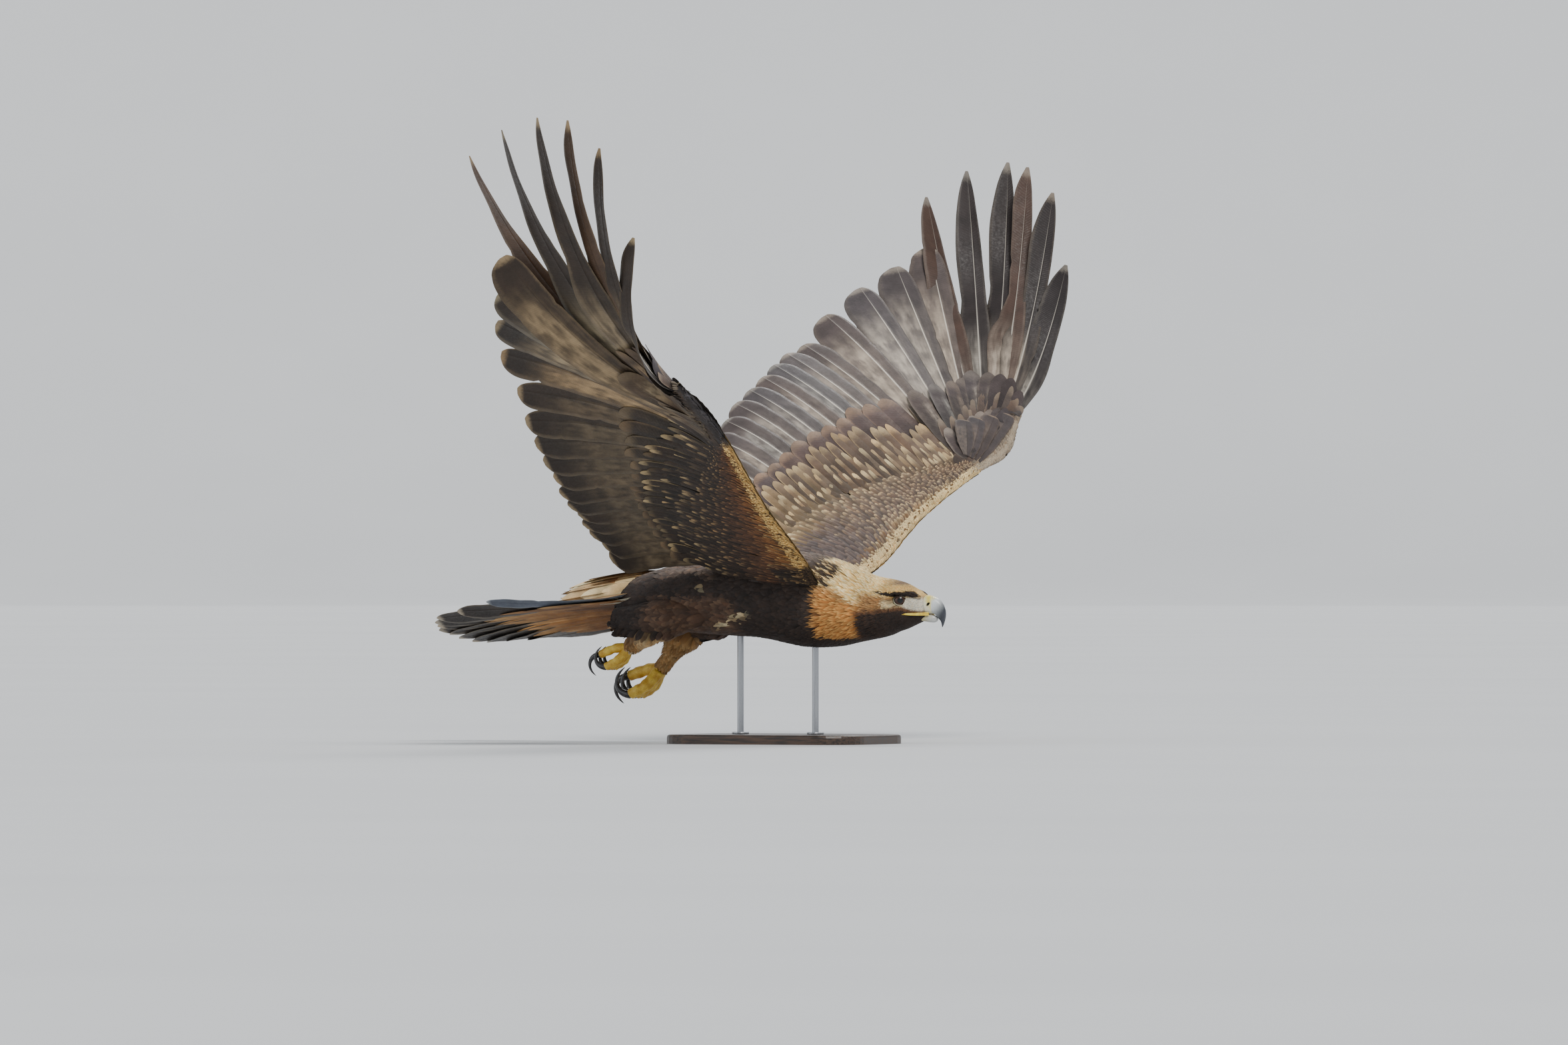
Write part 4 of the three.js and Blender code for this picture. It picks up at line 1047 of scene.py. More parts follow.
def build_tail():
    sheet = Sheet(TAIL, tail_bow)
    coat = Coat()
    n = RECTRICES
    u = places_of(n, -1.08, 1.08)
    hand = np.sign(u)
    # The outermost feather on the near side is slate and narrow.
    slate = np.arange(n) == 0
    outer = slate[:, None]
    top = (
        tinted(np.where(outer, srgb(98, 106, 120), srgb(66, 58, 54)), n), tinted(srgb(206, 196, 180), n),
        marks(n, 0.2, 0.7, 0.3),
    )
    low = (
        tinted(np.where(outer, srgb(92, 98, 110), srgb(42, 34, 29)), n),
        tinted(np.where(outer, srgb(190, 188, 184), srgb(196, 180, 156)), n),
        marks(n, -0.1, 0.7, np.where(slate, -0.6, 0.12)),
    )
    webs = (np.where(slate, 12, np.where(hand * side > 0, 20, 26.0)) for side in (1, -1))
    flight_vanes(
        coat, sheet, u, vary(n, 0.02), TAIL_TIP, *webs, hand * 0.15, 0, (top, low),
        lift=np.where(hand > 0, -2 * (1 - np.abs(u)), 0),
    )
    coat.make("rectrices", FLIGHT, "flight_feather", "tail")
    cover = Coat()
    for face, layers in ((1, TAIL_ABOVE), (-1, TAIL_BELOW)):
        for layer in layers:
            tail_layer(cover, sheet, face, *layer)
    tail_hood(cover)
    cover.make("tail_coverts", BODY_PLUME, "plumage")


def tail_layer(cover, sheet, face, reach, lift, end, start):
    n = 17
    side = 0.98 if face < 0 or lift < 10 else 0.7 - 0.004 * lift
    u = places_of(n, -side, side, 0.7)
    places = np.array([p[0] for p in CONTOUR])
    far = reach * vary(n, 0.14)[:, None] * (1 - 0.2 * u[:, None] ** 2)
    t = start + (far - start) * places[None]
    centre, _, across, up = sheet.frame(np.broadcast_to(u[:, None], t.shape), t)
    low = np.minimum(1, 1.15 - 0.85 * u[:, None] ** 2) if face > 0 else 1
    rise = face * mix(lift, end, places[None] ** (2.2 if face > 0 else 1)) * low * np.ones((n, 1))
    wide = 11 * vary(n, 0.15)[:, None] * profile(CONTOUR, places)[None]
    grid = leaves(centre + up * rise[..., None], across, up, wide, FIVE, 0.2 * face)
    bake = np.stack([0.5 + 0.45 * u, 0 * u + 0.5 + face * (0.1 + 0.8 * reach) * 0.5], -1)
    warm = RNG.uniform(0, 1, n)[:, None]
    white = (step(-0.7, -0.9, u) * (reach < 0.4) * (face < 0))[:, None]
    cold_col, cold_rim, warm_col, warm_rim = (
        ((206, 168, 116), (240, 220, 180), (150, 112, 74), (206, 170, 120)) if face > 0
        else ((162, 112, 62), (214, 174, 120), (92, 60, 38), (150, 108, 66))
    )
    col, rim = toned(srgb(*cold_col), srgb(*cold_rim), warm_col, warm_rim, warm)
    col, rim = toned(col, rim, (226, 216, 190), (226, 216, 190), white)
    cover.add(grid, FIVE, places, (tinted(col, n), tinted(rim, n, 0.08), marks(n, -0.05, 0.5)), bake)


def tail_hood(cover):
    """Cream and orange feathers that close over the high layers and turn down at the sides."""
    for low, reach, n in ((0, 128, 11), (3, 100, 10), (6, 70, 9)):
        y = np.linspace(-32, 32, n) + RNG.uniform(-1.5, 1.5, n)
        dome = 1 - (y / 33) ** 2 - 0.012 * np.maximum(y, 0)
        far = reach * vary(n, 0.08)
        root = np.stack([0 * y - 222, y * 0.85, 227 + 24 * dome + low * 0.4], -1)
        mid = np.stack([-222 - far * 0.5, y, 228 + 25 * dome + low * 0.4], -1)
        tip = np.stack([-222 - far, y * 1.15, 218 + 17 * dome + low + RNG.uniform(-2, 2, n)], -1)
        up = unit(np.stack([0 * y, y * 0.02, 0 * y + 1], -1))
        warm = RNG.uniform(0, 1, n)[:, None] ** 1.5
        col, rim = toned(srgb(206, 184, 138), srgb(232, 216, 176), (148, 98, 54), (196, 148, 92), warm)
        bake = np.stack([0.06 + 0.2 * (y + 34) / 68, 0.5 + 0 * y], -1)
        small_vanes(
            cover, root, mid, tip, up, up, 11 * vary(n, 0.12), CONTOUR, FIVE,
            (tinted(col, n), tinted(rim, n, 0.08), marks(n, -0.1, 0.6)), bake, 0.25, -0.7 * y / 30,
        )


# ---- skin ----
def trunk_row(x):
    return along([(s[0], s[1:]) for s in TRUNK], x)


def coat_depth(x):
    """How deep the skin lies under the tips of the feathers."""
    return np.interp(x, (-268, -200, 120, 176, 200, 237), (3.0, 5.0, 5.0, 3.4, 1.6, 0.8))


def trunk_point(x, angle, grow=0.0):
    """Point of the trunk at a place along it and an angle round it from its left side."""
    x, angle = np.broadcast_arrays(np.asarray(x, float), np.asarray(angle, float))
    row = trunk_row(x.ravel()).reshape(*x.shape, 3)
    middle = (row[..., 0] + row[..., 1]) / 2
    high = (row[..., 0] - row[..., 1]) / 2 + grow
    cos = np.cos(angle)
    wide = (row[..., 2] + grow) * np.sign(cos) * np.abs(cos) ** 0.92
    return np.stack([x, wide, middle + high * np.sin(angle)], -1)


def ring_quads(rows, count):
    """Four-sided faces between rows of closed rings of points."""
    a = np.arange(rows - 1)[:, None] * count
    c = np.arange(count)[None]
    d = (c + 1) % count
    return np.stack([a + c, a + d, a + d + count, a + c + count], -1).reshape(-1, 4)


def ring_tube(rings):
    """Closed points and quads through rings of equal counts; each end closes on its middle."""
    rings = np.asarray(rings)
    first, last = (ring.mean(0) + (ring - ring.mean(0)) * 0.02 for ring in (rings[0], rings[-1]))
    rings = np.concatenate([[first], rings, [last]])
    return rings.reshape(-1, 3), ring_quads(*rings.shape[:2])


def round_tube(path, radius, steps, sides):
    """A tube through points in one upright plane, with a radius for each place along it."""
    t = np.linspace(0, 1, steps + 1)
    centre = along([(i / (len(path) - 1), p) for i, p in enumerate(path)], t)
    run = unit(np.gradient(centre, axis=0))
    side = unit(np.cross(np.cross(run, (0, 1, 0)), run))
    up = np.cross(run, side)
    angle = np.linspace(0, 2 * np.pi, sides, endpoint=False)[None, :, None]
    r = np.asarray([radius(v) for v in t])[:, None, None]
    return ring_tube(centre[:, None] + side[:, None] * np.cos(angle) * r + up[:, None] * np.sin(angle) * r)


def joint(plan, key):
    return np.array([plan[key][0], plan["y"], plan[key][1]], float)


def leg_parts(plan):
    """The thigh and the shank as they are under their feathers."""
    knee, heel, ankle, foot = (joint(plan, key) for key in ("knee", "heel", "ankle", "foot"))
    middle = mix(knee, heel, 0.55) + np.array([0, 0, -4.0])
    thigh = lambda t: mix(40, 21, ease(t)) * (0.45 + 0.55 * ease(t / 0.5)) - LEG_COAT
    shank = lambda t: mix(26, 13.5, ease(t * 1.3)) - LEG_COAT
    return [
        round_tube([knee, middle, heel], thigh, 14, 20),
        round_tube([ankle, mix(ankle, foot, 0.5), foot], shank, 10, 16),
    ]


def trunk_shell():
    x = np.concatenate([np.linspace(-268, 170, 56), np.linspace(174, 237, 26)])[:, None]
    angle = np.linspace(0, 2 * np.pi, 48, endpoint=False)[None]
    return ring_tube(trunk_point(x, angle, -coat_depth(x)))


def wing_shell(sheet):
    turn = np.linspace(0, 2 * np.pi, 20, endpoint=False)
    w, face = (1 - np.cos(turn)) / 2, np.sign(np.sin(turn))
    rings = []
    for u in np.linspace(0, 1.95, 34):
        v = np.where(w < 0.7, w / 0.7 - 1, (w - 0.7) / 0.3 * flesh_reach(u))
        uu = np.full(20, u)
        out = (face * core_half(sheet, uu, v) * 0.9)[:, None]
        rings.append(sheet.surface(uu, v) + sheet.normal(uu, v) * out)
    return ring_tube(rings)


def brow_shells():
    line = ((186, 29, 225.5), (203, 30.4, 228), (219, 23.5, 225), (231, 13.5, 219.5))
    return [
        round_tube([np.array(p, float) * (1, side, 1) for p in line], lambda t: 4.4 - 1.8 * t, 12, 12)
        for side in (-1, 1)
    ]


def body_shells(*more):
    legs = [part for plan in LEGS.values() for part in leg_parts(plan)]
    return [trunk_shell(), *legs, *more, *brow_shells()]


def joined(shells):
    """The points and quads of several closed shells as one."""
    starts = np.cumsum([0] + [len(points) for points, _ in shells])
    quads = [q + start for (_, q), start in zip(shells, starts)]
    return np.concatenate([points for points, _ in shells]), np.concatenate(quads)


def tree_of(shells):
    points, quads = joined(shells)
    return BVHTree.FromPolygons(points.tolist(), quads.tolist())


def skin_colour(p):
    """Markings of the trunk, with painted shade under the brows and in the near wing's hollow, the same for the
    skin and for the small feathers.
    """
    x, y, z = p[:, 0], np.abs(p[:, 1]), p[:, 2]
    n = len(p)
    wob = 4 * np.sin(x * 0.09 + z * 0.13) + 3 * np.sin(z * 0.21 - y * 0.17)
    col = np.tile(srgb(42, 33, 29), (n, 1))
    rim = np.tile(srgb(64, 50, 41), (n, 1))

    def lay(mask, c, r):
        nonlocal col, rim
        m = np.clip(mask, 0, 1)[:, None]
        col = mix(col, srgb(*c), m)
        rim = mix(rim, srgb(*r), m)

    near = p[:, 1] < 0
    back = step(248, 264, z + wob)
    lay(back * step(130, 60, x), (98, 82, 73), (150, 130, 110))
    lay(step(-110, -190, x) * step(244, 258, z + wob), (66, 53, 46), (104, 88, 74))
    flank = step(-8, -34, x + wob) * step(-184, -150, x) * step(226, 212, z) * step(160, 172, z)
    lay(flank, (74, 54, 42), (126, 98, 74))
    streak = step(4.4, 2.2, np.abs(z - 178 - (x + 54) * 0.27)) * step(-64, -54, x) * step(18, -6, x)
    tuft = step(7, 3, np.hypot(x + 74, z - 232))
    lay(near * np.maximum(streak * 0.75, tuft * 0.4), (186, 166, 126), (222, 208, 172))
    lay(step(-210, -240, x) * step(206, 190, z) * step(34, 24, y), (128, 96, 62), (178, 144, 100))
    shank = step(6, -6, z - np.where(near, 168.0, 176.0) + 0.4 * wob) * step(-138, -158, x)
    lay(shank, (148, 110, 66), (200, 164, 112))
    lay(shank * step(-214, -198, x + 0.3 * wob) * near, (192, 156, 108), (220, 192, 146))
    lay(shank * near * step(150, 142, z), (214, 196, 158), (236, 222, 190))
    nape_low = step(-6, 8, z - (np.interp(x, (80, 100, 150, 200), (236, 226, 206, 212)) + wob))
    lay(step(90, 112, x + wob) * nape_low, (222, 180, 106), (255, 238, 190))
    neck_side = step(92, 108, x + wob) * step(166, 158, x) * step(164, 170, z) * (1 - nape_low)
    lay(neck_side, (168, 110, 54), (216, 162, 92))
    ear = step(150, 166, x) * step(196, 204, z) * step(224, 214, z)
    lay(ear, (138, 98, 58), (180, 138, 88))
    crown = step(176, 206, x) * step(232, 238, z)
    lay(crown, (112, 90, 68), (158, 130, 96))
    stripe = step(176, 190, x) * step(224, 228, z) * step(237, 232, z) * step(232, 222, x)
    lay(stripe, (196, 158, 96), (232, 204, 142))
    lores = step(1.25, 0.7, np.hypot((x - 226) / 16, (z - 208) / 12.5))
    lay(lores, (200, 192, 172), (222, 218, 204))
    ring = step(1.6, 1.15, np.hypot((x - 199) / 12, (z - 213) / 9.5))
    under_eye = ring * step(216, 210, z + 0.3 * (x - 199)) * step(182, 190, x)
    lay(under_eye, (190, 170, 128), (216, 200, 158))
    throat = np.interp(x, (150, 166, 186, 200, 212, 222, 236), (196, 198, 203, 204, 203, 198, 196)) - z
    lay(step(150, 158, x) * step(-5, 0, throat + 0.3 * wob), (84, 56, 36), (122, 84, 52))
    lay(step(150, 158, x) * step(0, 5, throat + 0.3 * wob), (40, 30, 25), (62, 44, 33))
    # Painted shadow under the brow ridge: a dark band over the eye.
    ridge = np.interp(x, (170, 186, 203, 219, 231), (225, 226.5, 228.5, 228, 226.5)) - z
    deep = np.interp(x, (172, 186, 203, 219, 231), (1.5, 4, 7.5, 7, 5))
    under_brow_shadow = step(0.0, 1.0, ridge) * step(deep + 2, deep, ridge)
    under_brow_shadow = under_brow_shadow * step(170, 182, x) * step(236, 230, x) * step(9, 12, y)
    lay(under_brow_shadow, (42, 32, 26), (64, 50, 38))
    # Painted shade in the hollow between the near wing's root and the nape, with pale feather mottles over it.
    hollow_shade = near * step(1.15, 0.75, np.hypot((x - 108) / 20, (z - 244 + 0.5 * wob) / 15))
    mottle = step(0.2, 0.6, np.sin(x * 0.62 + z * 0.21) * np.sin(z * 0.55 - x * 0.17))
    lay(hollow_shade, (40, 31, 26), (84, 66, 46))
    lay(hollow_shade * mottle, (190, 156, 102), (226, 200, 148))
    return col, rim


def hackled(p):
    x, z = p[:, 0], p[:, 2]
    return step(84, 100, x) * step(196, 176, x) * step(160, 170, z)


def body_feathers(coat, tree, low, high):
    """Rows of small feathers round the trunk, each row laid over the one behind it."""
    rows, x = [], low
    while x < high:
        rows.append(x)
        x += (0.13 if NECK_X < x < HACKLE_END else 0.18) * feather_length(x)
    roots, turn = [], 0
    for x in rows:
        half = max(0.9, (0.17 if NECK_X < x < HACKLE_END else 0.2) * feather_length(x))
        row = trunk_row([x])[0]
        around = np.pi * (row[2] + (row[0] - row[1]) / 2)
        count = int(around / half / (0.8 if x > NECK_X else 0.95))
        turn = 0.5 - turn
        angle = (np.arange(count) + turn + RNG.uniform(-0.35, 0.35, count)) / count * 2 * np.pi
        xs = x + RNG.uniform(-0.1, 0.1, count) * feather_length(x)
        roots.append(np.stack([xs, angle], -1))
    roots = np.concatenate(roots)
    outer, middle = (trunk_point(roots[:, 0], roots[:, 1], grow) for grow in (60.0, -20.0))
    place_feathers(coat, tree, outer, middle, roots)


def feather_length(x):
    at = (-262, -150, 40, 100, 150, 178, 196, 212, 226, 237)
    return float(np.interp(x, at, (40, 38, 34, 27, 24, 15, 9, 6.5, 4.5, 3)))


def landed(tree, outer, middle):
    """Where the lines from outer to middle meet a surface: places, outward normals and which lines did."""
    hits, normals, kept = [], [], []
    for i, (a, b) in enumerate(zip(outer, middle)):
        d = Vector(b - a)
        place, normal, _, _ = tree.ray_cast(Vector(a), d.normalized(), d.length + 30)
        if place is not None:
            hits.append(tuple(place))
            normals.append(tuple(normal if normal.dot(d) < 0 else -normal))
            kept.append(i)
    return np.array(hits), np.array(normals), np.array(kept)


def laid(tree, p, n0, lie, length, height):
    """Middles, tips and tip normals of feathers that lie over a surface."""
    lie = unit(lie - n0 * (lie * n0).sum(-1, keepdims=True))
    mid, tip, n1 = [], [], []
    for q, d, reach, h, out in zip(p, lie, length, height, n0):
        for far, lift, store in ((0.5, 0.62, mid), (1.0, 0.98, tip)):
            place, normal, _, _ = tree.find_nearest(Vector(q + d * reach * far))
            normal = np.array(normal)
            normal = normal if normal @ out > -0.2 else -normal
            store.append(np.array(place) + normal * h * lift)
        n1.append(normal)
    return np.array(mid), np.array(tip), np.array(n1)


def place_feathers(coat, tree, outer, middle, roots):
    """Feathers where the lines from outer to middle meet the skin; roots is their place round the body."""
    p, n0, kept = landed(tree, outer, middle)
    x, z = p[:, 0], p[:, 2]
    roots = roots[kept]
    count = len(p)
    length = np.array([feather_length(v) for v in x]) * vary(count, 0.14)
    hack = hackled(p) > 0.5
    shank = (z < 176) & (x < -150) & (x > -250)
    length = np.where(shank, np.interp(z, (110, 176), (13, 24)), length)
    length = np.where(~shank & (x < -205) & (z < 196), 20, length)
    length = np.where(hack, length * 1.05, length)
    lie = np.tile(np.array([-1.0, 0, 0]), (count, 1))
    fan = np.interp(z, (160, 185, 212, 250), (-0.34, -0.12, 0.2, 0.5)) * step(200, 165, x)
    lie[:, 2] += np.where(hack, fan, 0) + RNG.normal(0, 0.09, count)
    lie[:, 1] += RNG.normal(0, 0.05, count)
    lie[shank] = (-0.62, 0, -0.78)
    near_eye = np.exp(-(((x - EYE[0]) / 14) ** 2 + ((z - EYE[2]) / 12) ** 2))
    lie[:, 2] += near_eye * np.where(z > EYE[2], 0.1, -0.7)
    height = coat_depth(x) + 5.0 * shank * step(140, 165, z)
    mid, tip, n1 = laid(tree, p, n0, lie, length, height)
    free = ((n0 * n1).sum(-1) > 0.2) & ~clear_of_face(p)
    col, rim = skin_colour(p)
    roll = RNG.normal(0, 0.1, count)
    for group, shape, cols, slim, rim_power in (
        (free & hack & (length > 12), HACKLE, THREE, 0.115, 0.9),
        (free & ~hack & (length > 12), CONTOUR, FIVE, 0.2, 0.5),
        (free & (length <= 12), DOWN, THREE, 0.21, 0.5),
    ):
        k = int(group.sum())
        if not k:
            continue
        tints = (
            tinted(col[group], k, 0.26, 0.06), tinted(rim[group], k, 0.16),
            marks(k, -0.08, rim_power * RNG.uniform(0, 1, k) ** (0.5 if shape is HACKLE else 1.3)),
        )
        around = np.mod(roots[group, 1] / 6.2832, 1)
        bake = np.stack([0.02 + (roots[group, 0] + 268) / 520 * 0.96, around * 0.96 + 0.02], -1)
        root, half = (p + n0 * 0.2)[group], length[group] * slim
        small_vanes(
            coat, root, mid[group], tip[group], n0[group], n1[group], half, shape, cols, tints, bake, 0.22,
            roll[group],
        )


def clear_of_face(p):
    """Where no feather grows: the eye and its lids, the bare edge by the cere."""
    eye = np.abs(np.stack([p[:, 0], np.abs(p[:, 1]), p[:, 2]], -1) - (EYE + EYE_LOOK * 9))
    in_eye = (eye[:, 0] / 11.0) ** 2 + (eye[:, 2] / 8.4) ** 2 < 1
    return in_eye | (p[:, 0] > FACE_X)


def leg_feathers(coat, tree, plan):
    roots, outer, middle = [], [], []
    for start, end, radius, rows, count in (("knee", "heel", 60, 20, 30), ("ankle", "foot", 40, 16, 22)):
        a, b = joint(plan, start), joint(plan, end)
        side = np.array([0, 1.0, 0])
        up = np.cross(unit(b - a), side)
        for i in range(rows):
            t = (i + 0.5) / rows
            angle = (np.arange(count) + RNG.uniform(-0.4, 0.4, count) + 0.5 * (i % 2)) / count * 2 * np.pi
            out = side * np.cos(angle)[:, None] + up * np.sin(angle)[:, None]
            centre = mix(a, b, t + RNG.uniform(-0.4, 0.4, count)[:, None] / rows)
            outer.append(centre + out * radius)
            middle.append(centre)
            roots.append(np.stack([np.full(count, a[0]) + t * 60, angle], -1))
    place_feathers(coat, tree, np.concatenate(outer), np.concatenate(middle), np.concatenate(roots))


# ---- pieces made by hand moves ----
def only(obj):
    bpy.ops.object.select_all(action="DESELECT")
    obj.select_set(True)
    bpy.context.view_layer.objects.active = obj


def edited(move, **settings):
    """One move on the whole active mesh."""
    bpy.ops.object.mode_set(mode="EDIT")
    bpy.ops.mesh.select_all(action="SELECT")
    move(**settings)
    bpy.ops.object.mode_set(mode="OBJECT")


def clothe(obj, material):
    obj.data.materials.clear()
    obj.data.materials.append(material)


def rename(obj, name):
    obj.name = name
    obj.data.name = name


def modified(obj, name, kind, **settings):
    """Adds a modifier and applies it."""
    made = obj.modifiers.new(name, kind)
    for key, value in settings.items():
        setattr(made, key, value)
    bpy.ops.object.modifier_apply(modifier=name)


def bore(obj, name, solver, **ball):
    """Cuts a ball out of a piece."""
    bpy.ops.mesh.primitive_uv_sphere_add(**ball)
    hole = bpy.context.object
    only(obj)
    modified(obj, name, "BOOLEAN", operation="DIFFERENCE", object=hole, solver=solver)
    bpy.data.objects.remove(hole, do_unlink=True)


def start_ring(name, sides, centre, wide, tall, angle, square):
    """A filled ring that faces along the direction of angle in the upright plane, ready to extrude."""
    bpy.ops.object.select_all(action="DESELECT")
    bpy.ops.mesh.primitive_circle_add(vertices=sides, radius=1.0, fill_type="NGON", location=(0, 0, 0))
    obj = bpy.context.object
    rename(obj, name)
    corners = [abs(abs(v.co.x) - abs(v.co.y)) < 0.35 for v in obj.data.vertices]
    turn = dict(center_override=(0, 0, 0), orient_type="GLOBAL")
    bpy.ops.object.mode_set(mode="EDIT")
    bpy.ops.mesh.select_all(action="DESELECT")
    if square != 1.0:
        bpy.ops.object.mode_set(mode="OBJECT")
        obj.data.vertices.foreach_set("select", corners)
        bpy.ops.object.mode_set(mode="EDIT")
        bpy.ops.mesh.select_mode(type="VERT")
        bpy.ops.transform.resize(value=(square, square, 1), **turn)
    bpy.ops.mesh.select_all(action="SELECT")
    bpy.ops.transform.resize(value=(tall * MM, wide * MM, 1), **turn)
    bpy.ops.transform.rotate(value=math.pi / 2 - angle, orient_axis="Y", **turn)
    bpy.ops.transform.translate(value=tuple(v * MM for v in centre))
    return obj


def drawn_out(name, sides, stations, material, smooth=2, square=1.0):
    """Extrudes a ring through stations (centre, width, height, angle) and rounds the result."""
    centre, wide, tall, angle = stations[0]
    obj = start_ring(name, sides, centre, wide, tall, angle, square)
    for spot, w, h, a in stations[1:]:
        step_by = [(spot[i] - centre[i]) * MM for i in range(3)]
        bpy.ops.mesh.extrude_region_move(TRANSFORM_OT_translate={"value": step_by})
        turn = dict(center_override=tuple(v * MM for v in spot), orient_type="GLOBAL")
        bpy.ops.transform.rotate(value=angle - a, orient_axis="Y", **turn)
        bpy.ops.transform.resize(value=(h / tall, w / wide, h / tall), **turn)
        centre, wide, tall, angle = spot, w, h, a
    edited(bpy.ops.mesh.normals_make_consistent, inside=False)
    only(obj)
    modified(obj, "round", "SUBSURF", levels=smooth)
    bpy.ops.object.transform_apply(location=True, rotation=True, scale=True)
    bpy.ops.object.shade_smooth()
    clothe(obj, material)
    return obj


def bill_stations(rows):
    """(top, bottom, half) rows to centre, width, height and angle."""
    out = []
    for (tx, tz), (bx, bz), half in rows:
        centre = ((tx + bx) / 2, 0, (tz + bz) / 2)
        out.append((centre, half, math.hypot(tx - bx, tz - bz) / 2, math.atan2(tx - bx, tz - bz)))
    return out


# Stations of the bill's parts: (top x, z), (bottom x, z), half width.
CERE_ROWS = [
    ((233, 223), (233, 195), 13.4), ((236.4, 224.1), (236.4, 194.8), 13.1),
    ((239, 224.1), (239, 194.9), 12.6), ((243, 223.4), (243, 195), 11.6),
    ((247, 222.4), (246.8, 195.2), 10.5), ((247.6, 221.6), (247.4, 196), 9.9),
]
HORN_ROWS = [
    ((244.6, 221.6), (244.6, 196), 10), ((246, 222.1), (246, 195.3), 10.4), ((250, 221.2), (249, 194.6), 9.9),
    ((255, 218.8), (252, 192.4), 9), ((260, 214.6), (254.6, 188.6), 7.6), ((264.6, 207.6), (257.6, 185.6), 6),
    ((267.2, 199), (259, 183.4), 4.4), ((267, 190.5), (259.8, 181), 3), ((264.8, 182.5), (260.2, 178.4), 1.7),
    ((261.8, 175.4), (260.6, 175), 0.5),
]
LOWER_ROWS = [
    ((217, 196.4), (218, 187.4), 8), ((224, 196.2), (226, 185.4), 9.4), ((232, 195.8), (234, 183.6), 10.2),
    ((239, 195.2), (241, 182.6), 9.7), ((245, 194.6), (246.4, 182.2), 8.4), ((249.6, 193.4), (250, 182.6), 6.7),
    ((252.8, 191.4), (252, 184), 4.6), ((254, 189.4), (253.4, 187), 2.2),
]
GAPE_LINE = [
    (199.5, 28.4, 195.4), (204, 28.4, 195.2), (210, 27.2, 195), (216, 25, 194.8), (222, 22, 194.7),
    (228, 18.4, 194.8), (234, 14.8, 195), (240, 11.8, 195.2), (244, 10, 195.2),
]
SIDES = ((-1, "right"), (1, "left"))


def build_bill():
    cere = drawn_out("cere_wax", 16, bill_stations(CERE_ROWS), CERE, square=1.07)
    for side, _ in SIDES:
        bore(
            cere, "nostril", "EXACT", segments=16, ring_count=10, radius=1.0,
            location=(NOSTRIL[0] * MM, NOSTRIL[1] * side * MM, NOSTRIL[2] * MM),
            rotation=(0, math.radians(-32), 0), scale=(3.2 * MM, 2.6 * MM, 1.4 * MM),
        )
    settle(cere, "cere", "cere")
    for part, rows, look, square in (("upper", HORN_ROWS, HORN, 1.07), ("lower", LOWER_ROWS, LOWER_HORN, 1.12)):
        made = drawn_out("bill_horn_" + part, 16, bill_stations(rows), look, square=square)
        settle(made, "horn", "bill_" + part)
    for side, word in SIDES:
        for lift, part, size in ((1.0, "upper", 1.0), (-0.9, "lower", 0.85)):
            rows = []
            for i, (x, y, z) in enumerate(GAPE_LINE):
                centre = (x, y * side, z + lift * (0.5 + 0.12 * i))
                rows.append((centre, (0.5 + 0.1 * i) * size, (0.45 + 0.15 * i) * size, 0.0))
            settle(drawn_out("gape_%s_%s" % (part, word), 8, rows, GAPE), "cere")


def eye_axis(side):
    """The middle of an eyeball, in metres, and the way it looks."""
    flip = np.array([1, side, 1])
    return Vector(EYE * flip * MM), Vector(EYE_LOOK * flip).normalized()


def build_eyes():
    for side, word in SIDES:
        centre, look = eye_axis(side)
        bpy.ops.mesh.primitive_uv_sphere_add(
            segments=48, ring_count=32, radius=EYE_RADIUS * MM, location=centre,
            rotation=look.to_track_quat("Z", "Y").to_euler(),
        )
        eye = bpy.context.object
        eye.name = "eyeball_" + word
        bpy.ops.object.transform_apply(location=True, rotation=True, scale=True)
        bpy.ops.object.shade_smooth()
        mesh = eye.data
        ring = []
        for v in mesh.vertices:
            away = v.co - centre
            off = (away - look * away.dot(look)).length / (EYE_RADIUS * MM)
            front = away.dot(look) > 0
            ring.append(off if front else 1.0)
            if front:
                v.co += look * 0.9 * MM * max(0.0, 1 - (off / 0.75) ** 2)
        mesh.attributes.new("Ring", "FLOAT", "POINT").data.foreach_set("value", ring)
        mesh.materials.append(EYE_LOOKS)
        settle(eye, "eye", "eye_" + word)
        build_lids(word, centre, look)


# The lid edge from the slit outwards: share of the slit's size, distance from the eyeball's middle.
LID_ROWS = (
    (0.97, 11.3), (0.99, 12.1), (1.03, 12.55), (1.09, 12.6), (1.16, 12.3), (1.28, 12.0), (1.42, 11.7),
    (1.6, 11.0),
)


